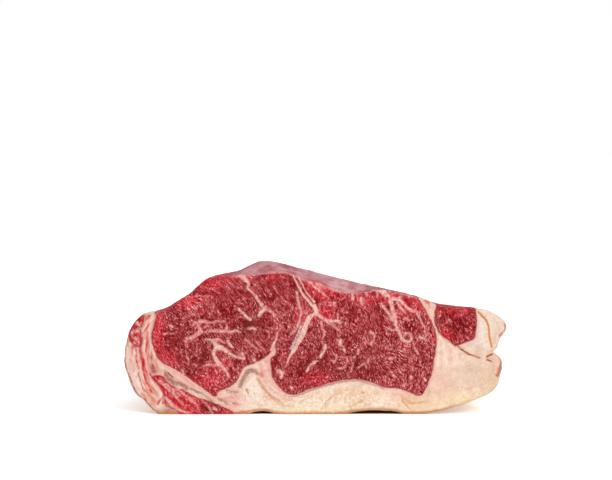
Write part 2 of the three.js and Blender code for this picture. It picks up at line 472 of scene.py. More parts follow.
# Thin sheets of lean between sheets of fat, as (first width, last width, points).
RED_SHEETS = [
    (2.0, 1.0, [
        (129.7, 338.8), (132.9, 345.2), (135.2, 351.7), (135.7, 359.1), (136.6, 364.6), (138, 369.3),
    ]),
    (2.4, 1.8, [(141.4, 338), (140, 346), (140.4, 354), (142, 361), (142.8, 368)]),
    (1.8, 1.4, [(142.8, 368), (143.6, 374), (145, 380.5), (147.4, 386)]),
    (1.3, 0.7, [(137.3, 375), (139, 379), (141.4, 385.4), (143.8, 392.6)]),
    (1.2, 0.6, [(138.6, 348), (139, 355), (140, 362)]),
    (2.0, 1.6, [(150.4, 390.4), (151.6, 392.6)]),
    (1.4, 1.0, [(162.6, 396), (162.6, 404)]),
    (1.8, 2.2, [(160.6, 399), (159.4, 401.6), (157.4, 404.4)]),
    (1.6, 1.2, [(149.4, 374.4), (154, 380), (158.6, 386), (162, 391.5)]),
    (1.2, 1.0, [(162, 391.5), (164, 397), (164.2, 403)]),
    (1.6, 0.6, [(236, 413.4), (243, 412), (250, 410.6)]),
]

TORN_SIZE = 2.2  # mm
TORN_BY = 0.3  # mm
ragged = np.column_stack((cloud(co, TORN_SIZE, 1.7), cloud(co, TORN_SIZE, 5.9))) * TORN_BY
spots = places + ragged
edge_of = {
    "main": signed(spots, MAIN_MUSCLE),
    "second": signed(spots, SECOND_MUSCLE),
    "small": signed(spots, SMALL_DARK_MUSCLE),
    "under flank": signed(spots, LEAN_UNDER_FLANK),
    "in flank": signed(spots, LEAN_IN_FLANK),
}
measure("red", spots, RED_SHEETS)
lean = np.maximum.reduce(list(edge_of.values()))
for name, edge in edge_of.items():
    print(f"{name}: {np.count_nonzero(edge > 0)} vertices")

# %% [markdown]
# ## Marbling and seams
#
# Fat between the bundles of a muscle shows as pale veins. The large ones are strokes that follow the real
# cut; the small flecks between them have no plan, and the material makes those from noise. Here and there
# two bundles have parted and left a gap instead, a shallow groove that is painted dark as shade. On the way
# to the back all these strokes drift further than the muscles do, since marbling changes fast along a loin.

# %% Seams and veins, in pixels of the photo
# Seams between two muscles, as (first width, last width, points).
SEAMS = [
    (1.2, 2.6, [
        (293.2, 275), (295.3, 280.3), (298.5, 287), (304.1, 295.9), (310.5, 303.6), (316.1, 310),
    ]),
    (0.8, 2.0, [
        (298.5, 276.5), (300.6, 281), (303.4, 286), (305.9, 291.6), (308.7, 295.1), (314, 301.8),
    ]),
    (3.0, 3.4, [(314.5, 305.5), (316, 309), (317.2, 314.5)]),
    (2.2, 2.2, [(315.5, 312), (312.5, 315.5), (309.5, 319)]),
    (4.4, 5.2, [(309.3, 317.5), (306.6, 323.4), (304.5, 329.7), (301.6, 336.8)]),
    (5.2, 3.6, [(301.6, 336.8), (298.5, 341.7), (295.6, 347.5), (293, 351.5)]),
    (3.2, 0.6, [(293, 351.5), (290.5, 355.5), (288, 361), (286.5, 364)]),
    (1.2, 2.8, [(277.3, 333), (276.5, 338.8), (274, 344), (271.5, 350)]),
    (1.8, 0.8, [(150, 312.6), (156, 310.2), (164, 307.4)]),
]
# Veins, as (first width, last width, tone, points). The tone is 0 for pink fat and 1 for cream.
VEINS = [
    (2.0, 3.4, .9, [(234, 274.2), (240.4, 276.5), (244.2, 278.8), (247, 281.6)]),
    (2.6, 1.2, .8, [(247, 281.6), (248.2, 284), (247.7, 287), (248.6, 289.4)]),
    (1.2, 3.0, .7, [(248.6, 289.4), (254.2, 295), (257.3, 298.8), (260, 302.7), (264.6, 309.6)]),
    (3.0, 2.0, .9, [(264.6, 309.6), (261.2, 312.3), (258.8, 315.5)]),
    (2.2, 1.4, .5, [(265, 309.2), (269.6, 310.8), (272.7, 312.7), (274.6, 315.8)]),
    (1.0, 1.8, 1, [(238.8, 308.8), (242.7, 312.7), (246.5, 316.5), (250.4, 319.6)]),
    (3.2, 1.6, .3, [(199.6, 321), (203, 321), (208, 322)]),
    (1.4, 1.0, .3, [(208, 322), (213.5, 322.7), (217.3, 320.8), (224.2, 321.5)]),
    (1.8, 3.8, .3, [(195, 321.9), (198.1, 324.2), (199.6, 328.1), (200.8, 331.2)]),
    (4.2, 2.6, .3, [(200.8, 331.2), (196.8, 334.8), (190.4, 338.1), (186.5, 338.8)]),
    (0.8, 2.6, .3, [(206, 331.5), (212, 330.6), (218.8, 331.2), (225, 330.8)]),
    (1.6, 1.2, .3, [(226.9, 327.3), (226.4, 329.5), (228, 331.5)]),
    (2.4, 1.2, .35, [(225, 330.8), (231.2, 332), (235, 330.4), (240.6, 332)]),
    (2.4, 2.0, .4, [(248.5, 328.4), (252, 328), (255.4, 329)]),
    (1.2, 4.6, .9, [(205.8, 338.8), (209.6, 340), (213.5, 342.7), (216.4, 346.5)]),
    (5.0, 3.0, .9, [(216.4, 346.5), (221.2, 347.8), (226.5, 351.2)]),
    (1.8, 1.2, .7, [(226.5, 351.2), (229.6, 353.5), (235, 356.5), (238.8, 357.3), (243.5, 358.8)]),
    (2.2, 1.2, .6, [(214.2, 339.6), (218.8, 339.8), (221.9, 341.2), (225, 342.6)]),
    (2.0, 1.6, .8, [(228.1, 341.2), (230, 344.6), (232.7, 347.3)]),
    (1.6, 0.8, .8, [(241.9, 352.7), (243, 355.8), (244.6, 358.6)]),
    (3.4, 2.6, .9, [(216.4, 346.5), (214.6, 350.4), (213.5, 353.5), (215, 357.3)]),
    (2.6, 4.0, .8, [(215, 357.3), (217.3, 361.2), (219.2, 364.2)]),
    (3.4, 1.0, .8, [(219.2, 364.2), (222.7, 367.3), (225.8, 370.4), (228.8, 376.8)]),
    (1.4, 1.2, .4, [(219.2, 364.2), (214.2, 365.2), (208.1, 364.6), (204.2, 365.6)]),
    (1.3, 1.1, .3, [(186.5, 356.5), (188.1, 359.6), (188.8, 364.2)]),
    (1.3, 1.2, .3, [(245.8, 339.6), (250.4, 343.5), (254.2, 346.5), (258.1, 351.2)]),
    (0.9, 0.9, .3, [(256.5, 341.9), (261.2, 346.5), (265.8, 351.9)]),
    (2.2, 1.6, .5, [(253.8, 358.8), (255.4, 361.4)]),
    (1.4, 1.8, .6, [(297.1, 292.3), (297.8, 299.4), (299.9, 307.1), (301.3, 312.1)]),
    (1.6, 1.2, .6, [(301.3, 312.1), (299.2, 321.9), (297.1, 326.9), (294.2, 331.1), (290.7, 334.6)]),
    (2.4, 2.0, .8, [(318.2, 314.9), (322.4, 317.7), (325.3, 319.8), (328.1, 322.3)]),
    (1.8, 1.6, .9, [(328.1, 322.3), (333.7, 320.9), (338.7, 321.6), (340, 323)]),
    (1.6, 0.8, .6, [(328.1, 322.3), (330.9, 324.1), (333.7, 326.9), (338.7, 330.4)]),
    (1.2, 1.4, .7, [(304.5, 278.9), (308.7, 280.7), (311.2, 283.2), (316.1, 288.1), (328.1, 296.9)]),
    (1.2, 1.0, .9, [(317, 283.6), (321, 284.6), (325.3, 285.3), (332.3, 289.2)]),
    (1.2, 1.0, .5, [(316.4, 284.2), (318.4, 287), (320, 289.2)]),
    (1.6, 0.8, .4, [(321.2, 322.5), (322.4, 327.6), (324.5, 332), (322.5, 339)]),
    (1.8, 2.0, 1, [(325.3, 345.6), (324.6, 349.1), (323.1, 352.6), (320, 356.9)]),
    (2.0, 1.2, .8, [(316.8, 361.4), (313.3, 363.2), (309.7, 366), (306.6, 371.7)]),
    (1.2, 1.2, .4, [(336.2, 354.4), (335.8, 359.7), (333.7, 361.8)]),
    (2.4, 2.0, 1, [(340.8, 340.4), (340.4, 344.4)]),
    (1.5, 1.2, .8, [(343.6, 349.4), (345, 352)]),
    (1.8, 1.4, .7, [(358.6, 349.8), (357.7, 353.5)]),
    (1.5, 1.0, .5, [(372.7, 341), (371, 344.5)]),
    (1.1, 1.0, .4, [(352.8, 363.2), (352.1, 367.4), (351, 371.7)]),
    (1.0, 1.4, .4, [(357.7, 367.8), (360.5, 366), (364.2, 363.2), (366.4, 367.6)]),
    (1.2, 1.0, .4, [(368.3, 359.2), (368.2, 363)]),
    (2.2, 2.0, .2, [(339, 368.2), (342, 367.8), (345, 367)]),
    (1.6, 1.0, .4, [(353.4, 357.4), (355, 356.2)]),
    (2.2, 1.2, .6, [(371, 332), (373.5, 334), (374.5, 337)]),
    (0.9, 2.0, .9, [(342.5, 288.8), (346.4, 289.5), (353.5, 290.2), (360.5, 291.6), (369.7, 289.5)]),
    (2.4, 5.0, .9, [(369.7, 289.5), (374.6, 289), (379, 290), (384, 292.6)]),
    (4.6, 3.0, .8, [(384, 292.6), (387, 296), (389.9, 299.5)]),
    (1.6, 0.6, .7, [(366, 291.5), (366.9, 296.4)]),
    (1.6, 0.6, .7, [(377, 291), (377.6, 296.8)]),
    (2.0, 1.6, 1, [(352.6, 294.4), (353, 299.6)]),
    (2.0, 1.4, .9, [(360.6, 298.2), (361.4, 303.4)]),
    (1.6, 2.2, .6, [(381.7, 303.6), (383.8, 307.1), (387.3, 311.4), (393.4, 320)]),
    (3.2, 2.4, .8, [(389.9, 299.5), (391.5, 305.2), (393.6, 312.6), (395.4, 319.1)]),
    (2.6, 2.2, .7, [(395.4, 319.1), (396.4, 325.6), (398, 330.5), (402.1, 338.6)]),
    (2.6, 1.4, .7, [(402.1, 338.6), (405.4, 341.3), (409.4, 341), (411.3, 338.6)]),
    (1.1, 0.8, .6, [(411.3, 338.6), (411, 335.4), (408.6, 333.3), (405.4, 333.7), (403.7, 336.2)]),
    (1.0, 0.8, .4, [(388.3, 328), (392.3, 330.1), (395.6, 328.9)]),
    (1.6, 2.2, .7, [(391.1, 299.1), (396.4, 299.5), (401.3, 301.2), (404.5, 305.2), (411, 310.9)]),
    (2.2, 1.8, .7, [(411, 310.9), (415.9, 311.8), (418.8, 312.6)]),
    (1.6, 1.2, .6, [(397.5, 302.5), (399.7, 306.9), (402.9, 310.1), (405.4, 312.6)]),
    (1.0, 0.8, .4, [(417.6, 315), (420.8, 320.7), (423.3, 325.6), (425.7, 328)]),
    (1.4, 1.0, .4, [(404.5, 318.3), (409.4, 320.5)]),
    (1.0, 0.8, .6, [(391.5, 297.5), (398.8, 298.3), (401.3, 296.3)]),
    (1.8, 1.2, .5, [(419.5, 337), (424.1, 338.6), (426.5, 340.9)]),
    (1.3, 1.0, .4, [(424.1, 331.3), (426.5, 335.4)]),
    (1.2, 1.0, .4, [(413.9, 346.8), (416.4, 351.7), (417.6, 354.1)]),
    (2.2, 1.8, .4, [(389.8, 358.4), (392.4, 357.8)]),
    (1.8, 1.2, .5, [(393.4, 375.2), (394.6, 378.8)]),
    (2.0, 1.6, .6, [(410.4, 376.4), (412, 377.6)]),
    (2.0, 1.8, .8, [(424.8, 379.1), (425.8, 380.2)]),
    (1.2, 1.0, .4, [(420, 361.4), (420.8, 364.9)]),
    (2.0, 1.4, .6, [(170.4, 325.5), (172.6, 327)]),
    (1.4, 1.0, .6, [(163.8, 334), (167.4, 333)]),
    (1.6, 1.2, .9, [(182.8, 371.1), (183.7, 374.4)]),
    (1.8, 1.6, .9, [(291, 387.6), (292, 388.6)]),
    (3.0, 2.2, .7, [(278.6, 371), (281.6, 374), (281.2, 378)]),
    (1.6, 1.0, .5, [(281.6, 373.6), (284.4, 371.4)]),
    (1.4, 0.9, .5, [(449, 319.6), (451, 322.4)]),
    (2.4, 1.6, .4, [(159.7, 381.3), (168, 388.6), (175.4, 396), (182.8, 404.3)]),
    (3.0, 2.2, .5, [(165.4, 397.5), (171.7, 404.3), (179.1, 409.9), (188, 413.4)]),
    (1.4, 1.0, .4, [(166, 384), (172, 389), (180, 395.5)]),
    (1.4, 1.2, .4, [(176, 388), (186, 395.5), (192, 402)]),
    (1.2, 1.0, .4, [(190, 398), (196, 404), (199, 410)]),
    (2.4, 1.8, 1, [(213.4, 408), (216.2, 409.4)]),
    (1.2, 0.9, .3, [(202, 400.5), (207, 404.5), (211, 411)]),
    (2.2, 1.8, .9, [(137.2, 323.4), (138.2, 325)]),
    (2.4, 1.6, .9, [(134.2, 339), (135.6, 340.8)]),
    (0.4, 0.7, .2, [(319.4, 305), (324, 302), (330, 302), (335, 305.6)]),
    (0.7, 0.4, .2, [(319.6, 315.4), (324, 318.8), (330, 319.4), (334.4, 317)]),
    (1.6, 1.0, .7, [(136.4, 330), (135.2, 333.2)]),
    (1.2, 0.8, .8, [(133, 331), (131.4, 335)]),
    (1.4, 1.0, .9, [(138.8, 328.8), (137.4, 332)]),
    (1.0, 0.8, .7, [(140.6, 322.4), (139.6, 326)]),
    (1.0, 0.8, .8, [(133.4, 343.4), (135.4, 344.8)]),
    (1.0, 0.8, .7, [(137.6, 338.4), (138.4, 343.4)]),
]

# %% Gaps in painted shade, red marks and a speckled strip, in pixels of the photo
# Gaps between bundles, painted dark as shade, as (first width, last width, points).
CREVICES = [
    (1.4, 2.0, [(208.1, 340.8), (211.2, 342.3), (212.5, 345.8), (211.9, 349.4)]),
    (1.6, 2.2, [(177.7, 351.7), (179.1, 355.4), (178.2, 360.9), (179.1, 364)]),
    (1.0, 0.8, [(164.3, 346.2), (166.2, 349.9)]),
    (1.0, 1.2, [(223.5, 292.7), (228.1, 296.5)]),
    (1.2, 1.0, [(248, 322.7), (252.7, 324.2)]),
    (1.4, 1.0, [(261.9, 326.5), (267.3, 331.9)]),
    (0.9, 0.8, [(202.7, 302.7), (204.2, 305.8)]),
    (1.2, 1.6, [(325.3, 293), (328.4, 296.6), (333, 299.2)]),
    (1.3, 1.2, [(294.2, 368.9), (297.1, 370.3), (299.2, 366.7)]),
    (1.5, 1.4, [(291.4, 374.5), (294.2, 378)]),
    (1.0, 0.8, [(293.5, 380.8), (300.6, 379.8), (306.9, 378.7)]),
    (2.2, 1.8, [(317.4, 362.6), (318.8, 363.8)]),
    (1.0, 0.9, [(321.7, 372.4), (324.6, 370.6)]),
    (1.0, 0.8, [(338.7, 377.3), (343.6, 374.5), (346.4, 373.1)]),
    (1.2, 1.0, [(365.5, 350.2), (369.7, 346.6)]),
    (1.8, 1.4, [(389.6, 351.6), (392, 350.8)]),
    (1.0, 0.8, [(392.3, 361.1), (398.6, 360.4)]),
    (1.2, 1.0, [(384.5, 342), (386.6, 344)]),
    (1.0, 0.9, [(354.5, 364), (357, 360.4), (361, 359)]),
    (2.2, 1.4, [(254, 275.4), (260, 275.2), (265.5, 277.2)]),
    (1.0, 1.2, [(299.5, 281), (302.5, 288), (306.5, 294.5), (311, 301)]),
    (0.9, 0.9, [(336, 300.5), (337.8, 306), (337.2, 313)]),
]
# Small marks of bright blood red, as (first width, last width, strength, points).
RED_MARKS = [
    (2.4, 2.2, 0.9, [(387.4, 298), (388, 299.4)]),
    (4.0, 3.4, 0.5, [(260.8, 374), (262, 375.4)]),
    (3.0, 2.4, 0.7, [(317.4, 281.8), (321, 281.6), (325.4, 282.4)]),
    (1.8, 1.0, 0.9, [(427, 301.5), (428.6, 304), (430.2, 307.4)]),
    (1.4, 1.0, 0.9, [(424.4, 301.4), (427.4, 304)]),
]
# A strip speckled white and grey, as (first width, last width, points).
SPECKLED = [
    (2.2, 2.4, [(301.4, 325), (298.6, 332.5), (295.6, 339), (292.8, 345), (290.6, 349)]),
]

VEIN_DRIFT = np.array((7.0, -4.0))  # mm more, by the time a vein reaches the back
vein_spots = spots + VEIN_DRIFT * (depth * inward)[:, None]
measure("seam", spots, SEAMS)
measure("vein", vein_spots, VEINS)
measure("crevice", vein_spots, CREVICES)
measure("mark", vein_spots, RED_MARKS)
measure("speckled", spots, SPECKLED)
print("veins:", len(VEINS), "vertices on them:", np.count_nonzero(gap_of["vein"] < 0))

# %% [markdown]
# ## Marks in the fat
#
# Fat isn't one colour. Where a blood vessel or a gland was cut there is a pit, painted grey in its hollow
# as shade, a fold shows as an orange line, the outer rim has dried brown, and a thin mauve sheath lies
# between lean and cap.

# %% Pits, folds, sheaths and dried rims, in pixels of the photo
# Pits, painted grey and brown as shade, as (first width, last width, tone, points). The tone is 0 for grey
# and 1 for brown.
PITS = [
    (4.6, 5.6, 1, [(151.6, 366.4), (153.2, 371)]),
    (2.4, 2.0, 1, [(155, 370.5), (156.4, 373)]),
    (2.2, 1.6, 1, [(149.4, 357), (150.6, 359.6)]),
    (2.6, 5.0, .4, [(164.8, 371.4), (166.4, 376.2), (170, 380.4)]),
    (4.6, 3.4, .4, [(170, 380.4), (173.6, 383), (177.2, 383.8)]),
    (3.4, 4.6, .7, [(178.6, 383.4), (182.8, 385.6), (185.6, 387.8)]),
    (1.8, 2.0, .6, [(190, 389), (194, 390.4), (198, 393)]),
    (1.4, 1.6, .3, [(199, 392), (204, 395), (209, 399.4), (212, 402)]),
    (2.4, 1.8, 1, [(219, 399), (221.6, 400.8)]),
    (2.2, 1.6, 1, [(224.4, 402), (227, 404.2)]),
    (1.6, 1.2, 1, [(233, 403.6), (236, 405)]),
    (3.6, 4.6, .7, [(239.4, 386.6), (241.6, 382.4), (243.8, 378.2), (246.4, 374)]),
    (5.6, 2.6, .25, [(247.4, 372.4), (251, 370.8), (255, 371.2), (258, 374.6)]),
    (1.2, 0.8, .4, [(226.5, 390.4), (232.7, 392.7), (236.5, 391.9)]),
    (3.2, 2.4, .8, [(254, 316.4), (255.6, 318.8)]),
]

# Folds, orange lines, sheaths and dried rims, as (first width, last width, points).
FOLDS = [
    (1.3, 0.9, [(168, 373.2), (170, 375.2), (172.8, 377.4)]),
    (1.3, 1.2, [(458.3, 346.4), (460.7, 349.2), (464.8, 352.1), (469.7, 354.5)]),
    (1.2, 0.6, [(469.7, 354.5), (475.4, 356.6), (480.3, 358.2)]),
    (1.0, 0.7, [(487.6, 360.2), (492.5, 362.3)]),
    (1.0, 1.4, [(487.4, 357.2), (490, 355.8), (492.6, 354.6)]),
]
# Faint streaks in the fat, as (first width, last width, tone, points). The tone is 0 for rosy and 1 for
# white. The first six fan out under the small muscle. Others are ridges of the cap, whose white is painted
# highlight, and of the seam over the lean under the flank, and the last nine are sheets of the flank.
FAINT_STREAKS = [
    (1.0, 2.4, 1, [(440, 337), (438.6, 350), (437, 366)]),
    (0.8, 2.0, 0.4, [(441, 337), (441.6, 350), (441.4, 368)]),
    (0.8, 2.2, 1, [(442, 336), (445, 350), (447, 366)]),
    (0.8, 2.0, 0.4, [(443, 336.6), (448.6, 349), (452.4, 362)]),
    (0.8, 2.2, 1, [(444, 336.6), (451.6, 347), (458, 358)]),
    (0.8, 1.6, 0.4, [(446, 337.6), (453.6, 346), (461, 354)]),
    # white streaks on the cap: painted highlights along its ridges
    (3.0, 3.6, 1, [(331, 388.6), (332.6, 395), (331, 402)]),
    (1.2, 1.2, 1, [(366, 401.8), (376, 402.8), (388, 402.2), (399, 402.4)]),
    (1.2, 1.2, 1, [(398, 397), (402, 403), (407, 409)]),
    (1.6, 1.4, 1, [(317, 397), (322, 394), (328, 391.4)]),
    (1.4, 1.4, 1, [(281, 400.4), (287, 403.4), (293, 402.4)]),
    (1.4, 1.4, 1, [(480.4, 322), (482.4, 330), (483, 340)]),
    (3.0, 3.0, 0.4, [(393, 394), (400, 395), (406, 397.6)]),
    (1.2, 1.0, 1, [(160, 362), (170, 368.4), (181, 374.6), (192, 382), (203, 389.6), (212, 395.6)]),
    (1.6, 1.4, 1, [(163, 368), (171, 373), (180, 379.6), (189, 384.6)]),
    (1.5, 1.0, 1, [(196, 388.6), (206, 394), (216, 399.6), (228, 406)]),
    (1.3, 1.4, 1, [(204, 398.4), (215, 402.6), (226, 408.6), (238, 412)]),
    (1.4, 1.0, 0, [(164, 366), (177, 372.8), (189, 381.4), (201, 390)]),
    (1.5, 1.2, 0.1, [(184, 380), (194, 385.4), (204, 391.4), (215, 397)]),
    (1.4, 1.2, 0, [(154, 360), (156.6, 366), (161, 371.6)]),
    (1.4, 1.0, 0.1, [(212, 398), (222, 400.4), (232, 401)]),
    (1.4, 1.2, 0, [(231, 396), (235, 400), (238.6, 406)]),
    (1.6, 1.2, 1, [(238, 383), (242.4, 374), (248, 367.6), (256, 365.6)]),
    (1.6, 1.2, 1, [(262.6, 362), (266, 370), (269, 379)]),
    (1.6, 1.4, 0.2, [(260, 364), (262, 372), (265, 381)]),
    (2.0, 2.0, 1, [(268, 384), (275, 389.6), (283, 394.4)]),
    (3.0, 2.4, 1, [(262, 383), (267, 389), (273, 394.6), (280, 398)]),
    (3.0, 3.4, 1, [(153, 313), (150.4, 323), (149.4, 333.8), (151, 345), (155.4, 357)]),
    (2.0, 2.2, 0.8, [(138, 349), (138.8, 358), (140.2, 368), (142, 378)]),
    (2.4, 2.2, 0.9, [(144.2, 340), (144, 350), (146, 362), (148.4, 374), (153, 383.6)]),
    (2.2, 2.0, 1, [(153, 383.6), (159, 391), (161.8, 398), (161.2, 406)]),
    (6.6, 8.0, 1, [(128, 347), (128.2, 357), (131, 371), (136.4, 386)]),
    (8.0, 5.0, 0.9, [(136.4, 386), (141, 393)]),
    (3.0, 4.0, 0.6, [(144, 397), (148.6, 403), (154, 410)]),
]
# Creases between lobes of fat, painted tan as shade, as (first width, last width, strength, points).
CREASES = [
    (2.0, 2.4, 0.9, [(258, 379), (262, 385), (268, 393), (272, 398.4), (279, 400.8)]),
    (1.8, 1.0, 0.8, [(273.7, 399.2), (278.9, 401.8), (285.4, 406.4), (291, 407)]),
    (1.6, 1.0, 0.7, [(257, 404.6), (262, 405.8), (267, 405)]),
    (1.2, 1.0, 0.6, [(298, 404), (304, 399.6), (311, 397.4)]),
    (2.0, 1.0, 0.7, [(325.6, 407), (329.5, 398.6), (336, 393.4), (340, 391)]),
    (1.4, 0.8, 0.5, [(334.3, 402), (337, 395.4), (341, 391.6), (346.7, 389)]),
    (1.8, 1.0, 0.8, [(350, 406.4), (358.6, 402.7), (364.3, 399)]),
    (1.8, 1.4, 0.8, [(402.9, 398.6), (411.4, 402.7), (419, 403.4), (427, 401)]),
    (1.6, 1.0, 0.6, [(429.4, 388), (428.6, 395), (426, 400)]),
    (1.4, 1.0, 0.7, [(497, 315.6), (501, 319.4), (502.4, 324)]),
    (1.4, 1.0, 0.7, [(494.6, 320), (498.6, 325), (499.6, 331)]),
    (1.2, 1.0, 0.6, [(493.6, 328), (496.6, 333.4), (494, 340)]),
    (1.4, 1.0, 0.5, [(463, 350), (467, 346.6), (470.4, 347)]),
]
# Orange lines, as (first width, last width, strength, points).
ORANGE_LINES = [
    (2.6, 2.4, 0.5, [(145.4, 391), (149, 396), (152.6, 400), (154, 405)]),
    (1.8, 1.2, 1, [(246.4, 389.2), (248.4, 393.2)]),
    (1.2, 0.8, 0.6, [(253.4, 393), (254.6, 395.4)]),
    (2.0, 1.6, 0.6, [(362.2, 392), (363.4, 393.4)]),
    (1.4, 0.9, 0.7, [(401.6, 400), (406.2, 405.6), (410, 409)]),
    (2.0, 2.2, 1, [(478.6, 311.8), (481.1, 315), (484.3, 318.3), (487.2, 321.5), (488.8, 326.4)]),
    (2.2, 1.8, 1, [(488.8, 326.4), (489.6, 332.9), (490.5, 340.3), (492.1, 347.6)]),
    (1.0, 0.8, 0.6, [(437.9, 332.9), (443.6, 338.4), (449.3, 343.2)]),
    (1.2, 1.5, 0.5, [(256.5, 378), (259, 383), (261.9, 387.3), (266.5, 391.9)]),
    (1.5, 1.0, 0.5, [(266.5, 391.9), (270, 395.5), (275, 399)]),
    (1.2, 0.8, 0.5, [(246, 390.5), (248.8, 394.5)]),
    (1.0, 0.8, 0.5, [(353.5, 403.8), (359.1, 402.7), (361.9, 400.6)]),
    (1.0, 0.8, 0.5, [(321, 409.7), (323.9, 405.5), (326.7, 401.3), (333.7, 397.1)]),
    (1.0, 0.8, 0.5, [(402.1, 401.3), (406.2, 406.2), (410.2, 408.8)]),
    (0.8, 0.6, 0.4, [(400.5, 397.2), (405.4, 402.1), (411.9, 403.7), (424, 402.9)]),
    (0.9, 0.9, 0.4, [(264.2, 401.9), (269.6, 399), (273.5, 400.4), (277.3, 404.2), (283.5, 407.3)]),
    (1.2, 1.0, 0.4, [(147.8, 315), (148.2, 322), (146.6, 330)]),
    (2.0, 1.2, 0.5, [(126.4, 345.5), (127.6, 349)]),
    (2.4, 1.6, 0.5, [(130, 361.5), (132, 366.5), (133, 373)]),
    (1.4, 1.0, 0.5, [(137.5, 373), (135.7, 378.5)]),
    (2.6, 2.0, 0.5, [(141, 394.5), (145, 398.5)]),
    (1.4, 1.0, 0.4, [(149.5, 392), (151.5, 399), (150, 405)]),
    (1.0, 0.9, 0.4, [(146.2, 331), (146.4, 344)]),
    (1.2, 1.0, 0.35, [(147.5, 345), (149, 352), (150.3, 360.5)]),
]
SHEATHS = [
    (1.0, 2.0, [(288, 397), (293, 396.8), (298, 395.4), (305.2, 392.8), (312, 390), (319.6, 387.3)]),
    (2.2, 1.6, [(319.6, 387.3), (327, 385.4), (335.1, 383.4), (342, 381.8), (350, 380.8), (361, 381.4)]),
    (1.6, 1.2, [(361, 381.4), (368, 383), (376, 386), (384, 388.6)]),
]
DRIED_RIMS = [
    (1.6, 1.4, [(497.4, 312.8), (502.3, 317.4), (505.5, 322.8), (506.5, 326.8)]),
    (1.4, 1.8, [(505.8, 329), (502.8, 333.5), (499.8, 336.8)]),
    (1.2, 2.4, [(494.6, 353.8), (498.6, 355.8), (500.8, 360.4), (501.4, 365.6)]),
    (2.6, 3.4, [(501.4, 365.6), (500.4, 371), (498.4, 376)]),
    (1.2, 1.4, [(124.5, 345), (123.4, 352), (123.8, 362), (125.5, 371)]),
    (1.4, 1.8, [(126.5, 374), (129, 380), (131, 385), (135.5, 393), (139, 398)]),
    (1.2, 1.4, [(143.6, 400), (148, 405.5), (153, 410.6), (158.5, 414.4)]),
]

measure("pit", spots, PITS)
measure("fold", spots, FOLDS)
measure("crease", spots, CREASES)
measure("orange", spots, ORANGE_LINES)
measure("sheath", spots, SHEATHS)
measure("faint", spots, FAINT_STREAKS)
measure("rim", spots, DRIED_RIMS)
print("kinds of marks:", len(gap_of))

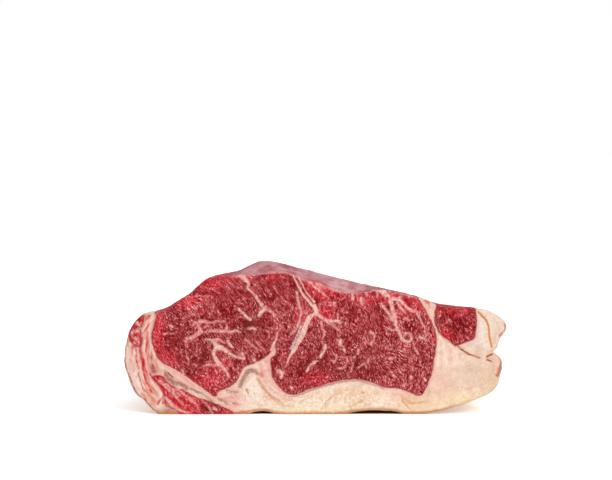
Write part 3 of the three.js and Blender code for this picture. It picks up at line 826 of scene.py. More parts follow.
# %% Soft patches of colour, in millimetres, as (x, height, half width, half height, strength)
PATCHES = {
    "bright_lean": [
        (-95, 50, 5, 15, 1.0), (-80, 69, 12, 5, 0.8), (-64, 81, 10, 5, 0.9), (-34, 84, 26, 4, 0.6),
        (-89, 33, 8, 6, 0.7), (-70, 21, 10, 5, 0.6), (-57, 28, 8, 9, 0.5), (4, 76, 13, 7, 0.9),
        (7, 63, 6, 6, 0.8), (32, 71, 14, 5, 0.6), (56, 67, 12, 7, 0.7), (-9, 60, 5, 8, 0.5),
        (78, 47, 7, 5, 0.7), (86, 57, 12, 10, 0.2), (86, 66, 16, 4, 0.7), (-4, 22, 14, 6, 0.5),
        (-75, 10, 22, 10, 0.6),
    ],
    "dark_lean": [
        (-40, 51, 10, 8, 0.7), (-66, 37, 7, 7, 0.8), (26, 28, 24, 6, 0.6), (-4, 24, 14, 7, 0.6),
        (86, 57, 14, 12, 0.9), (-62, 6, 9, 6, 0.8), (-84, 42, 8, 8, 0.3), (4, 45, 10, 8, 0.3),
        (-55, 74, 16, 10, 0.4), (-20, 76, 12, 10, 0.3),
    ],
    "pale_lean": [
        (58, 24, 14, 10, 0.6), (66, 44, 5, 12, 0.4), (-74, 50, 10, 10, 0.2), (-28, 60, 8, 6, 0.3),
    ],
    "brown_lean": [(-42, 52, 10, 8, 0.9), (-66, 38, 8, 7, 0.7), (30, 36, 26, 12, 0.3)],
    "streaky_lean": [
        (-25, 72, 12, 12, 1.0), (-54, 76, 15, 8, 1.0), (-90, 33, 9, 9, 0.7), (33, 62, 18, 9, 0.6),
        (-32, 48, 9, 10, 0.9), (-82, 42, 8, 9, 0.5), (2, 76, 10, 8, 0.6),
    ],
    "yellow_fat": [
        (87, 10, 12, 4, 1.0), (0, 5, 22, 4, 0.9), (8, 9, 16, 4, 0.8), (40, 9, 24, 6, 0.5),
        (66, 5, 14, 4, 0.7), (-14, 3, 12, 4, 0.6), (104, 12, 8, 5, 0.5),
    ],
    "rosy_fat": [
        (56, 12, 9, 3, 0.8), (80, 36, 6, 9, 0.3), (74, 24, 4, 9, 0.6), (80, 16, 8, 5, 0.3),
        (110, 25, 3, 4, 1.0), (-30, 25, 4.5, 8, 0.9), (-24, 14, 6, 5, 1.0), (-50, 7, 9, 6, 0.7),
        (-27, 37, 6, 10, 1.0), (-78, 22, 14, 8, 0.7), (-100, 10, 4, 6, 0.6), (-104, 20, 8, 12, 0.4),
        (68, 57, 4, 8, 0.4), (107, 33, 4, 6, 0.5), (-16, 12, 8, 3, 0.6), (68, 67, 4, 6, 1.0),
        (-48, 13, 4, 4, 0.8),
    ],
    # white fat, and on the cap white spots and a band that are painted glints
    "white_fat_and_glints": [
        (-38, 15, 6, 9, 1.0), (34, 16.5, 8, 2.5, 0.6), (108, 52, 5, 7, 0.5), (-93, 8, 1.6, 6, 0.7),
        (10, 12, 4, 7, 0.7), (40, 9, 12, 2.4, 0.6), (-22, 4, 10, 4, 0.5), (-3, 6, 5, 4, 0.7),
        (-28, 6, 5, 4, 0.6), (45, 8, 6, 4, 0.6), (-42, 8, 5, 4, 0.4),
    ],
    # fat painted darker as painted shade, on lobes that catch more light
    "shaded_fat": [
        (43.5, 18.3, 2.4, 1.6, 0.8), (-48, 14, 7, 3, 0.4), (111, 50, 5, 10, 0.5), (100, 44, 12, 14, 0.3),
        (108, 22, 5, 9, 0.8), (-15, 8, 3, 3, 0.6), (93, 26, 8, 7, 0.5), (103, 18, 7, 5, 0.4),
    ],
    "grey_fat": [(100, 54, 2.6, 9, 1.0), (95, 44, 6, 3, 0.5), (108, 54, 5, 7, 0.6)],
    "tan_fat": [(-88.5, 1.5, 6, 3.4, 1.0)],
    "peach_fat": [
        (15, 12, 7, 4, 0.8), (27, 12, 8, 3, 0.7), (34, 7, 8, 3, 0.6), (52, 10, 8, 4, 0.9),
        (59, 6, 8, 4, 0.8), (-20, 8, 5, 3, 1.0), (104, 21, 5, 7, 0.5), (64, 12, 8, 4, 0.4),
        (34, 12, 6, 3, 0.5),
    ],
    "ridged_fat": [(0, 8, 30, 9, 1.0), (40, 8, 24, 7, 0.8), (-40, 13, 12, 10, 0.7), (-70, 16, 18, 8, 0.8)],
    "streaky_fat": [
        (-80, 22, 12, 7, 0.9), (-56, 11, 12, 6, 0.6), (-105, 20, 10, 20, 0.6), (-27, 34, 6, 14, 0.8),
        (-23, 15, 7, 5, 0.6),
    ],
    "pale_skin": [(12, 80, 24, 14, 0.5), (4, 85, 9, 4, 0.4), (-46, 88, 14, 5, 0.3)],
    "bare_top": [(-3, 84, 5, 6, 1.0), (6, 80, 4, 5, 0.8), (28, 75, 4, 4, 0.8), (46, 75, 4, 4, 0.7)],
}


def patches(spots, rows):
    total = np.zeros(len(spots))
    for x, z, half_width, half_height, strength in rows:
        away = ((spots[:, 0] - x) / half_width) ** 2 + ((spots[:, 1] - z) / half_height) ** 2
        total += strength * np.exp(-away)
    return np.clip(total, 0, 1)


patch_maps = {name: patches(spots, rows) for name, rows in PATCHES.items()}
print("patches:", sum(len(rows) for rows in PATCHES.values()))

# %% [markdown]
# ## Which way the fibres run
#
# Meat has a grain. In each muscle the bundles lean their own way, and in the flank the sheets follow the
# outline. The material stretches its noise along the grain, so it needs a pair of coordinates that run
# across and along the fibres instead of left and up. Each muscle turns them by its own angle, and a slow
# noise bends them, so that no streak runs dead straight.

# %% Coordinates across and along the grain
GRAIN_ANGLES = {"main": -58, "second": -74, "small": -84, "under flank": -40, "in flank": -70}  # degrees
LAYER_RADIUS = 100.0  # mm: turns a bearing into a length along the outline
BEND_LUMPS, BENDS_BY = 18.0, 5.0  # mm
WAVE_LUMPS, WAVES_BY = 5.0, 1.2  # mm
MUSCLE_EDGE = 0.4  # mm over which one grain gives way to the next
FLANK_FROM, FLANK_TO = 92, 99  # mm left of the middle
SHEETS_BEND = 0.25  # how much of the bend the sheets of the flank take part in
LEAN_FROM, LEAN_TO = -0.2, 0.3  # mm inside a muscle's edge, where the relief of lean begins and is full
MAIN_FROM, MAIN_TO = -0.5, 0.2  # the same for the main muscle, where the flank gives way to it
MARBLED_EDGE = 0.5  # mm to either side of the edge of the lean that is shot through with fat
bend = BENDS_BY * cloud(co, BEND_LUMPS, 2.3) + WAVES_BY * cloud(co, WAVE_LUMPS, 6.1)

in_from_outline = (1 - share) * reach_here
from_top = np.arctan2(arm[:, 0], arm[:, 1])  # a bearing that only jumps in the cap of fat, at the bottom
grain = np.column_stack((in_from_outline + SHEETS_BEND * bend, from_top * LAYER_RADIUS, co[:, 1]))
for name, degrees in GRAIN_ANGLES.items():
    angle = math.radians(degrees)
    along = spots[:, 0] * math.cos(angle) + spots[:, 1] * math.sin(angle)
    across = spots[:, 1] * math.cos(angle) - spots[:, 0] * math.sin(angle)
    turned = np.column_stack((across + bend, along, co[:, 1]))
    weight = soft_step(edge_of[name], -MUSCLE_EDGE, MUSCLE_EDGE)[:, None]
    grain = grain * (1 - weight) + turned * weight
in_lean = soft_step(lean, LEAN_FROM, LEAN_TO)
in_flank = soft_step(-co[:, 0], FLANK_FROM, FLANK_TO) * cut
in_flank *= 1 - soft_step(edge_of["main"], MAIN_FROM, MAIN_TO)
marbled = np.maximum(edge_of["under flank"], edge_of["in flank"])
under_flank = soft_step(marbled, -MARBLED_EDGE, MARBLED_EDGE)

# %% [markdown]
# ## Relief
#
# A knife never leaves raw meat flat. The muscles swell a little, the seams between them draw in, fibres
# stand up in fine ridges, and the sheets of the flank part from each other. Every one of these is a height
# in millimetres along the surface's own direction, and the heights simply add up.

# %% Heights from the map, moved along the normals
FLAT_FOOT = 0.6  # mm: what is lower than this stays on the table
LUMPS = ((9.0, 0.34), (3.6, 0.20), (1.7, 0.10))  # size and height, mm
OUTSIDE_LUMPS = (14.0, 0.45)
FAT_LUMPS = (7.0, 0.55)
FAT_CREASE, FAT_CREASE_SPACING = 0.30, 9.0
FAT_CREASE_WIDTH = 0.08  # a crease runs where a noise is within this of its middle value
FIBRE_STRETCH = np.array((1.0, 3.2, 2.0))
FIBRE_SIZE, FIBRE_HEIGHT = 1.1, 0.16
SHEET_SPACING, SHEET_HEIGHT = 3.4, 0.32
SHEET_WANDER_LUMPS, SHEET_WANDERS_BY = 6.0, 0.9

height = sum(tall * cloud(co, size, size) for size, tall in LUMPS)
height += FAT_LUMPS[1] * cloud(co, FAT_LUMPS[0], 5.2) * (1 - in_lean) * cut
creased = bump_at(cloud(co, FAT_CREASE_SPACING, 7.7), FAT_CREASE_WIDTH)
height -= FAT_CREASE * creased * (1 - in_lean) * cut
height += OUTSIDE_LUMPS[1] * cloud(co, OUTSIDE_LUMPS[0], 2.8) * (1 - cut)
height += FIBRE_HEIGHT * cloud(grain / FIBRE_STRETCH, FIBRE_SIZE, 9.1) * in_lean
across_sheets = grain[:, 0] + SHEET_WANDERS_BY * cloud(co, SHEET_WANDER_LUMPS, 6.6)
height += SHEET_HEIGHT * np.sin(across_sheets / SHEET_SPACING * 2 * math.pi) * in_flank

# Each groove or ridge, as (half width, height). A stroke has its full height from side to side.
LEAN_GROOVE = (0.8, -0.20)  # along the edge of every muscle
GROOVES = {
    "vein": (0.7, 0.16),
    "seam": (0.7, -0.25),
    "crevice": (0.5, -0.80),
    "red": (0.5, -0.15),
    "fold": (0.7, -0.70),
    "crease": (0.9, -0.25),
    "orange": (0.5, -0.35),
    "pit": (0.8, -0.80),
    "rim": (0.8, -0.20),
}
height += LEAN_GROOVE[1] * bump_at(lean, LEAN_GROOVE[0]) * cut
for name, (half_width, tall) in GROOVES.items():
    height += tall * bump_at(np.maximum(gap_of[name], 0), half_width) * cut

moved = co + out * height[:, None]
moved[co[:, 2] < FLAT_FOOT, 2] = 0
low = np.array(CAD_LOW) / MM
high = np.array(CAD_HIGH) / MM
moved = np.clip(moved, low, high)
squares.vertices.foreach_set("co", (moved * MM).astype(np.float32).ravel())
squares.update()
print("relief, mm: from", round(height.min(), 2), "to", round(height.max(), 2))

# %% [markdown]
# ## Handing the map to the material
#
# A mesh can carry numbers on its vertices, called attributes, and a material reads them by name. The
# distances and patches go there. So does an unwrapped map of the surface, which a baker needs: the front
# cut, the back cut and the outside each get a part of the square.

# %% Store the attributes
TOP_FROM, TOP_TO = 58, 64  # mm: above this the outside is the top of the loin
SKIN_LEFT, SKIN_RIGHT = -50, 62  # mm: between these the top still has its silverskin
SKIN_FADES = 4.0  # mm to either side of such an end
UNDER_FROM, UNDER_TO = 0.1, 0.5  # how much a surface that counts as the underside looks down
SHADED_TO, UNSHADED_FROM = 1.5, 8.0  # mm above the table: the underside's painted shade is full below the first and gone above the second
UNDER_SHADE = 0.3  # how much painted shade the underside gets where it is clear of the table
DEEP_FROM, DEEP_TO = 26.0, 14.0  # mm from the middle: between these the rims turn from dried to fresh
FLAP_FROM, FLAP_TO = 20.0, 27.0  # mm in front of the middle, where the bare spots of the top begin
CORNER_LOW, CORNER_HIGH = (0.3, 0.55), (0.7, 0.92)  # how much the edge of a cut looks along Y
# The underside of the fat gets painted shade, tan and strongest where it lies near the table.
lies_low = 1 - soft_step(co[:, 2], SHADED_TO, UNSHADED_FROM)
underside_shade = soft_step(-out[:, 2], UNDER_FROM, UNDER_TO) * (1 - in_lean)
underside_shade *= UNDER_SHADE + (1 - UNDER_SHADE) * lies_low
skinned = soft_step(co[:, 0], SKIN_LEFT - SKIN_FADES, SKIN_LEFT + SKIN_FADES)
skinned *= 1 - soft_step(co[:, 0], SKIN_RIGHT - SKIN_FADES, SKIN_RIGHT + SKIN_FADES)
skinned *= 1 - patch_maps["bare_top"] * soft_step(-co[:, 1], FLAP_FROM, FLAP_TO)
facing = np.abs(out[:, 1])
corner = soft_step(facing, *CORNER_LOW) * (1 - soft_step(facing, *CORNER_HIGH))  # 1 on a cut's edge
numbers = {
    "lean_mm": lean,
    **{f"{name}_mm": gap for name, gap in gap_of.items()},
    **{f"{name}_tone": tone for name, tone in tone_of.items() if tone.any()},
    "underside_shade": underside_shade,
    "between_cuts": soft_step(-np.abs(co[:, 1]), -DEEP_FROM, -DEEP_TO),
    "outside": 1 - cut,
    "skin_edge": corner * soft_step(co[:, 2], TOP_FROM, TOP_TO),
    "silverskin": skinned,
    "in_flank": in_flank,
    "under_flank": under_flank,
    **patch_maps,
}
for name, values in numbers.items():
    layer = squares.attributes.new(name, "FLOAT", "POINT")
    layer.data.foreach_set("value", values.astype(np.float32))
layer = squares.attributes.new("grain_mm", "FLOAT_VECTOR", "POINT")
layer.data.foreach_set("vector", grain.astype(np.float32).ravel())
print("attributes:", len(numbers) + 1)

# %% Unwrap: the front cut, the back cut and a band for the outside
MARGIN = 0.01
FACE_HEIGHT = 0.37  # of the square, for each cut face
FACING = 0.6  # a face that looks this much along Y is unwrapped with a cut
unwrapped = squares.uv_layers.new(name="OFBake")
corner_vertex = np.zeros(len(squares.loops), np.int32)
squares.loops.foreach_get("vertex_index", corner_vertex)
corner_face = np.zeros(len(squares.loops), np.int32)
face_kind = np.zeros(len(squares.polygons), np.int32)  # 0 outside, 1 front, 2 back
for polygon in squares.polygons:
    corner_face[polygon.loop_indices] = polygon.index
    if abs(polygon.normal.y) > FACING:
        face_kind[polygon.index] = 1 if polygon.normal.y < 0 else 2
kind = face_kind[corner_face]
box_share = (moved - low) / (high - low)
corner_share = box_share[corner_vertex]
turn = bearing[corner_vertex] / (2 * math.pi) + 0.5
first_turn = np.zeros(len(squares.polygons))
first_turn[corner_face[::-1]] = turn[::-1]
turn = np.where(turn - first_turn[corner_face] > 0.5, turn - 1, turn)
turn = np.where(turn - first_turn[corner_face] < -0.5, turn + 1, turn)
u = np.where(kind == 0, turn, corner_share[:, 0])
rise = np.where(kind == 0, corner_share[:, 1], corner_share[:, 2])
room_in_square = np.where(kind == 0, 1 - 2 * FACE_HEIGHT, FACE_HEIGHT) - 2 * MARGIN
foot = np.select([kind == 1, kind == 2], [0.0, FACE_HEIGHT], 2 * FACE_HEIGHT)
u = MARGIN + np.clip(u, 0, 1) * (1 - 2 * MARGIN)
v = foot + MARGIN + rise * room_in_square
unwrapped.data.foreach_set("uv", np.column_stack((u, v)).astype(np.float32).ravel())
print("corners unwrapped:", len(u))

# %% [markdown]
# ## The material, step by step
#
# One material covers the whole piece, because lean, fat and membrane run into one another. It is built as
# a painter would: lean and fat each as a full colour of their own, then masks that say which one shows.
# The small functions below make the nodes, so that each layer reads as one line of arithmetic.

# %% Small functions that make nodes
beef = bpy.data.materials.new("raw beef")
beef.use_nodes = True
tree = beef.node_tree
shader = tree.nodes["Principled BSDF"]


def feed(socket, value):
    """Link a node's output to the socket, or set the socket to a plain value."""
    if isinstance(value, bpy.types.NodeSocket):
        tree.links.new(value, socket)
    else:
        socket.default_value = value


def maths(operation, first, second=0.0):
    node = tree.nodes.new("ShaderNodeMath")
    node.operation = operation
    feed(node.inputs[0], first)
    feed(node.inputs[1], second)
    return node.outputs[0]


def times(*factors):
    product = factors[0]
    for factor in factors[1:]:
        product = maths("MULTIPLY", product, factor)
    return product


def plus(first, second):
    return maths("ADD", first, second)


def step_between(value, low, high, out_low=0.0, out_high=1.0):
    """0 below low, 1 above high and a soft slope between, or the reverse if low is the larger."""
    node = tree.nodes.new("ShaderNodeMapRange")
    node.interpolation_type = "SMOOTHSTEP"
    if low > high:
        low, high, out_low, out_high = high, low, out_high, out_low
    feed(node.inputs["Value"], value)
    for socket, setting in zip(node.inputs[1:5], (low, high, out_low, out_high)):
        socket.default_value = setting
    return node.outputs["Result"]


def mix(factor, first, second):
    """One colour over another."""
    node = tree.nodes.new("ShaderNodeMix")
    node.data_type = "RGBA"
    feed(node.inputs["Factor"], factor)
    feed(node.inputs["A"], first)
    feed(node.inputs["B"], second)
    return node.outputs["Result"]


def mix_number(factor, first, second):
    node = tree.nodes.new("ShaderNodeMix")
    feed(node.inputs["Factor"], factor)
    feed(node.inputs["A"], first)
    feed(node.inputs["B"], second)
    return node.outputs["Result"]


# %% Functions for the map and for noise
SHAKE_SCALE = 1.7  # shakes for each cell
THREAD_CORE = 0.35  # of a thread's half width, where it shows fully


def mapped(name, output="Fac"):
    node = tree.nodes.new("ShaderNodeAttribute")
    node.attribute_name = name
    return node.outputs[output]


def stretched(vector, across, along, deep):
    """Divide a vector in millimetres by three lengths, so that a pattern gets those sizes."""
    node = tree.nodes.new("ShaderNodeVectorMath")
    node.operation = "DIVIDE"
    feed(node.inputs[0], vector)
    node.inputs[1].default_value = (across, along, deep)
    return node.outputs[0]


def speckle(vector, detail=2.0, roughness=0.5, distortion=0.0):
    node = tree.nodes.new("ShaderNodeTexNoise")
    feed(node.inputs["Vector"], vector)
    node.inputs["Scale"].default_value = 1.0
    node.inputs["Detail"].default_value = detail
    node.inputs["Roughness"].default_value = roughness
    node.inputs["Distortion"].default_value = distortion
    return node.outputs["Fac"]


def shaken(vector, by):
    """Places moved a little by a noise, so that a pattern laid on them loses its straight lines."""
    node = tree.nodes.new("ShaderNodeTexNoise")
    feed(node.inputs["Vector"], vector)
    node.inputs["Scale"].default_value = SHAKE_SCALE
    moves = tree.nodes.new("ShaderNodeVectorMath")
    moves.operation = "MULTIPLY_ADD"
    feed(moves.inputs[0], node.outputs["Color"])
    moves.inputs[1].default_value = (by, by, by)
    feed(moves.inputs[2], vector)
    return moves.outputs[0]


def cells(vector, feature, output):
    """A pattern of packed cells: either how far a place is from a cell's wall, or a number for its cell."""
    node = tree.nodes.new("ShaderNodeTexVoronoi")
    node.feature = feature
    feed(node.inputs["Vector"], vector)
    node.inputs["Scale"].default_value = 1.0
    return node.outputs[output]


def threads(noise_value, width):
    """Thin lines where a noise crosses its middle value."""
    off_middle = maths("ABSOLUTE", plus(noise_value, -0.5))
    return step_between(off_middle, width, width * THREAD_CORE)


grain_mm = mapped("grain_mm", "Vector")
place_node = tree.nodes.new("ShaderNodeTexCoord")
place_mm = stretched(place_node.outputs["Object"], MM, MM, MM)

# %% Functions for colours
LIT = 1.16  # how bright the lights make a white cut face
HAZE = 0.018  # what the wet surface mirrors of the room


def seen_as(red, green, blue):
    """The colour that shows as these screen values, from 0 to 255, on a lit cut face.

    The numbers in the second line are those of the sRGB curve, which turns screen values into light.
    """
    levels = [c / 255 for c in (red, green, blue)]
    light = [c / 12.92 if c <= 0.04045 else ((c + 0.055) / 1.055) ** 2.4 for c in levels]
    return (*(max(0.0, c - HAZE) / LIT for c in light), 1)


def ramp(value, spread, colours):
    """The colours in their order, evenly spaced from the spread below 0.5 to the spread above it."""
    node = tree.nodes.new("ShaderNodeValToRGB")
    stops = node.color_ramp.elements
    places = 0.5 + spread * np.linspace(-1, 1, len(colours))
    stops[0].position, stops[1].position = places[0], places[-1]
    stops[0].color, stops[1].color = colours[0], colours[-1]
    for place, colour in zip(places[1:-1], colours[1:-1]):
        stops.new(place).color = colour
    feed(node.inputs["Fac"], value)
    return node.outputs["Color"]


# %% [markdown]
# ### Lean
#
# Lean beef is thousands of fibre bundles cut across. Each one shows as a small cell, longer than it is
# wide and dark red, in a wall of thin pale membrane that comes and goes. Cells and walls, with finer
# flecks, packets and clouds of them, add up to one value, and a ramp of five colours turns the value into
# meat. Where the lean is streaky, long lines take the place of the flecks. Near the outside the meat has
# taken up air and is bright red, so a second ramp serves there.

# %% Lean: bundles, flecks, packets and clouds make one value
BUNDLE = (1.6, 3.2, 2.6)  # mm across, along and into the cut
SHAKEN_BY = 0.7
WALL_OUTER, WALL_INNER = 0.24, 0.04  # of a bundle, from the middle of its wall
WALLED = (0.36, 0.54)  # values of the packets' noise between which the walls appear
WALLS_IN_THE_DARK = 0.3  # how much of the walls is left in the darkest patches
FLECK = (0.66, 1.9, 1.3)
LINE = (0.65, 7.0, 3.0)
PACKET = (3.0, 6.0, 4.0)
CLOUD = (14, 14, 14)
LINES_SHARE = 0.75  # how far lines take the place of flecks where the lean is streaky
FLECKS_CONTRAST, LINES_CONTRAST = 1.25, 1.3
WALLS_COUNT, BUNDLES_COUNT, PACKETS_COUNT, CLOUDS_COUNT = 0.08, 0.08, 0.13, 0.24
DARKER, PALER = -0.10, 0.06  # how far a patch moves the value
WALLS_PALER = -0.06  # brings the mean back down


def contrasted(value, by):
    """A noise whose distance from 0.5 is multiplied."""
    return plus(times(value, by), (1 - by) / 2)


def swing(value, amount):
    """A noise as a change for more or less, of up to half the amount."""
    return times(plus(value, -0.5), amount)


bundle_places = shaken(stretched(grain_mm, *BUNDLE), SHAKEN_BY)
walls = step_between(cells(bundle_places, "DISTANCE_TO_EDGE", "Distance"), WALL_OUTER, WALL_INNER)
bundles = cells(bundle_places, "F1", "Color")
flecks = speckle(stretched(grain_mm, *FLECK), detail=1.5, roughness=0.7, distortion=0.3)
lines = speckle(stretched(grain_mm, *LINE), detail=1.5, roughness=0.6)
packets = speckle(stretched(grain_mm, *PACKET), detail=2.0, roughness=0.65, distortion=0.2)
clouds = speckle(stretched(place_mm, *CLOUD), detail=2.0)
walls_left = step_between(mapped("dark_lean"), 0.0, 1.0, 1.0, WALLS_IN_THE_DARK)
walls = times(walls, step_between(packets, *WALLED), walls_left)
streaky = times(mapped("streaky_lean"), LINES_SHARE)
meat = mix_number(streaky, contrasted(flecks, FLECKS_CONTRAST), contrasted(lines, LINES_CONTRAST))
for change in (
    times(walls, WALLS_COUNT),
    swing(bundles, BUNDLES_COUNT),
    swing(packets, PACKETS_COUNT),
    swing(clouds, CLOUDS_COUNT),
    WALLS_PALER,
    times(mapped("dark_lean"), DARKER),
    times(mapped("pale_lean"), PALER),
):
    meat = plus(meat, change)
print("nodes for the value of the lean:", len(tree.nodes))

# %% Lean: the value becomes a colour
MIDDLE_OF_MUSCLE = (
    seen_as(112, 14, 22),
    seen_as(150, 46, 52),
    seen_as(175, 73, 76),
    seen_as(202, 103, 106),
    seen_as(240, 168, 168),
)
NEAR_THE_AIR = (
    seen_as(172, 20, 32),
    seen_as(204, 52, 61),
    seen_as(214, 76, 84),
    seen_as(226, 104, 110),
    seen_as(244, 156, 160),
)
SPREAD = 0.21
AIRED = (0.05, 0.85)  # strengths of a bright patch between which the second ramp takes over
AIR_CLOUDS = 0.9  # how far the clouds move the edge of such a patch
BROWNED, BROWNED_BY = seen_as(124, 66, 58), 0.30
lean_colour = ramp(meat, SPREAD, MIDDLE_OF_MUSCLE)
air = step_between(plus(mapped("bright_lean"), swing(clouds, AIR_CLOUDS)), *AIRED)
lean_colour = mix(air, lean_colour, ramp(meat, SPREAD, NEAR_THE_AIR))
lean_colour = mix(times(mapped("brown_lean"), BROWNED_BY), lean_colour, BROWNED)

# %% Lean: dark cracks, threads of fat and painted glints
CRACK, CRACK_WIDTH, CRACK_STRENGTH = (1.5, 3.4, 3.0), 0.055, 0.55
THREAD, THREAD_WIDTH, THREAD_STRENGTH = (2.6, 5.0, 4.0), 0.022, 0.4
PAINTED_GLINT, PAINTED_GLINT_STRENGTH = (0.8, 1.0, 0.8), 0.8
GROUP = (6, 8, 8)  # mm: threads and cracks come in groups of this size
THREADED, CRACKED = (0.48, 0.60), (0.56, 0.44)  # values of the groups' noise where each appears
PAINTED_GLINT_VALUES, IN_PACKETS = (0.70, 0.78), (0.5, 0.6)  # values of the painted glints' noise, and of the packets'
CRACK_DARK = seen_as(92, 12, 16)
THREAD_PINK = seen_as(228, 150, 146)
PAINTED_GLINT_WHITE = seen_as(250, 226, 222)
groups = speckle(stretched(grain_mm, *GROUP), detail=1.0)
thread_noise = speckle(stretched(grain_mm, *THREAD), detail=1.8, roughness=0.6, distortion=0.9)
thread_mask = times(threads(thread_noise, THREAD_WIDTH), step_between(groups, *THREADED), THREAD_STRENGTH)
lean_colour = mix(thread_mask, lean_colour, THREAD_PINK)
crack_noise = speckle(stretched(grain_mm, *CRACK), detail=1.0, distortion=0.6)
crack_mask = times(threads(crack_noise, CRACK_WIDTH), step_between(groups, *CRACKED), CRACK_STRENGTH)
lean_colour = mix(crack_mask, lean_colour, CRACK_DARK)
# tiny white specks are painted glints of the wet lean
painted_glints = step_between(speckle(stretched(place_mm, *PAINTED_GLINT), detail=0.0), *PAINTED_GLINT_VALUES)
painted_glint_mask = times(painted_glints, step_between(packets, *IN_PACKETS), PAINTED_GLINT_STRENGTH)
lean_colour = mix(painted_glint_mask, lean_colour, PAINTED_GLINT_WHITE)

# %% [markdown]
# ### The flank
#
# The rolled flank is thin sheets of lean and fat pressed together: long streaks along the sheets, from red
# to cream. The lean beneath it is shot through with fat in shorter, rounder streaks, so it gets a noise and
# a ramp of its own.

# %% The flank: red and cream streaks, and the marbled lean beneath
STREAK = (0.75, 7.0, 5.0)
SHEET, SHEETS_COUNT = (3.2, 30.0, 20.0), 0.7
FLANK_SPREAD, FLANK_PALER = 0.22, 0.045
FLANK_STREAKS = (
    seen_as(200, 50, 50),
    seen_as(224, 110, 102),
    seen_as(234, 160, 148),
    seen_as(240, 188, 176),
    seen_as(250, 224, 212),
)
MARBLING = (0.95, 2.4, 2.2)
MARBLED_SPREAD, MARBLING_REDDER, MARBLING_STRENGTH = 0.14, -0.05, 0.85
MARBLED_WHERE_BRIGHT = (0.6, 0.1)  # strengths of a dark patch between which the marbling appears
MARBLED = (
    seen_as(176, 14, 28),
    seen_as(200, 42, 54),
    seen_as(216, 76, 82),
    seen_as(234, 136, 132),
    seen_as(246, 190, 182),
)
streaks = speckle(stretched(grain_mm, *STREAK), detail=3.0, roughness=0.65, distortion=0.5)
sheets = speckle(stretched(grain_mm, *SHEET), detail=1.0)
streak_value = plus(streaks, swing(sheets, SHEETS_COUNT))
flank_colour = ramp(plus(streak_value, FLANK_PALER), FLANK_SPREAD, FLANK_STREAKS)
marbling = speckle(stretched(grain_mm, *MARBLING), detail=2.5, roughness=0.65, distortion=1.0)
marbled_colour = ramp(plus(marbling, MARBLING_REDDER), MARBLED_SPREAD, MARBLED)
marbled_share = times(mapped("under_flank"), step_between(mapped("dark_lean"), *MARBLED_WHERE_BRIGHT))
lean_colour = mix(times(marbled_share, MARBLING_STRENGTH), lean_colour, marbled_colour)

# %% [markdown]
# ### Fat
#
# Raw fat is cream, rosy next to the lean and yellower in the cap. It has no sharp pattern, only soft
# lobes and faint capillaries. Its small relief is painted in: pale mottles and white ridge lines are
# painted highlights on ridges, and tan mottles are painted shade in hollows.

# %% Fat: cream, with rosy, yellow and white parts, some white ones painted glints, and parts darkened as painted shade
LOBE = (5, 5, 5)
SOFT_LOBE = (13, 13, 13)
LIGHT_LOBES, APRICOT_LOBES = (0.35, 0.65), (0.45, 0.70, 0.0, 0.5)  # noise from, to, and the amounts there
PATCHY = (0.25, 0.60, 0.55, 1.0)  # the same, for how the lobes break up a tint
CREAM_DARK, CREAM_LIGHT = seen_as(229, 194, 170), seen_as(246, 226, 207)
APRICOT = seen_as(232, 200, 178)
FAT_TINTS = {
    "yellow_fat": (seen_as(246, 226, 180), 0.7),
    # white fat, and painted glints on the cap
    "white_fat_and_glints": (seen_as(252, 238, 224), 0.9),
    "rosy_fat": (seen_as(234, 168, 160), 0.75),
    # painted shade
    "shaded_fat": (seen_as(206, 178, 152), 0.7),
    "peach_fat": (seen_as(236, 196, 158), 0.85),
    "grey_fat": (seen_as(230, 220, 214), 0.9),
    "tan_fat": (seen_as(156, 98, 58), 1.0),
}
lobes = speckle(stretched(place_mm, *LOBE), detail=3.0, roughness=0.6)
soft_lobes = speckle(stretched(place_mm, *SOFT_LOBE), detail=1.0)
fat_colour = mix(step_between(lobes, *LIGHT_LOBES), CREAM_DARK, CREAM_LIGHT)
fat_colour = mix(step_between(soft_lobes, *APRICOT_LOBES), fat_colour, APRICOT)
for name, (tint, strength) in FAT_TINTS.items():
    fat_colour = mix(times(mapped(name), step_between(lobes, *PATCHY), strength), fat_colour, tint)
print("tints of the fat:", len(FAT_TINTS))

# %% Fat: painted highlights and shade as mottles and ridges, capillaries and the streaks of the flank
MOTTLE = (1.4, 1.4, 1.4)
MOTTLED_EVERYWHERE = 0.4  # how mottled the fat is where it has no ridges
HIGHLIGHT_MOTTLES, SHADE_MOTTLES = (0.50, 0.66), (0.48, 0.34)
HIGHLIGHT_MOTTLE_STRENGTH, SHADE_MOTTLE_STRENGTH = 0.65, 0.5
RIDGE, RIDGE_WIDTH, RIDGE_STRENGTH = (6, 6, 4), 0.03, 0.8
CAPILLARY, CAPILLARY_WIDTH, CAPILLARY_STRENGTH = (4, 4, 4), 0.014, 0.25
FLANK_IN_FAT = 0.5  # how much the flank's streaks show in fat near the flank
CAPILLARY_RED = seen_as(216, 140, 116)
HIGHLIGHT_WHITE, SHADE_TAN = seen_as(255, 245, 234), seen_as(230, 184, 146)
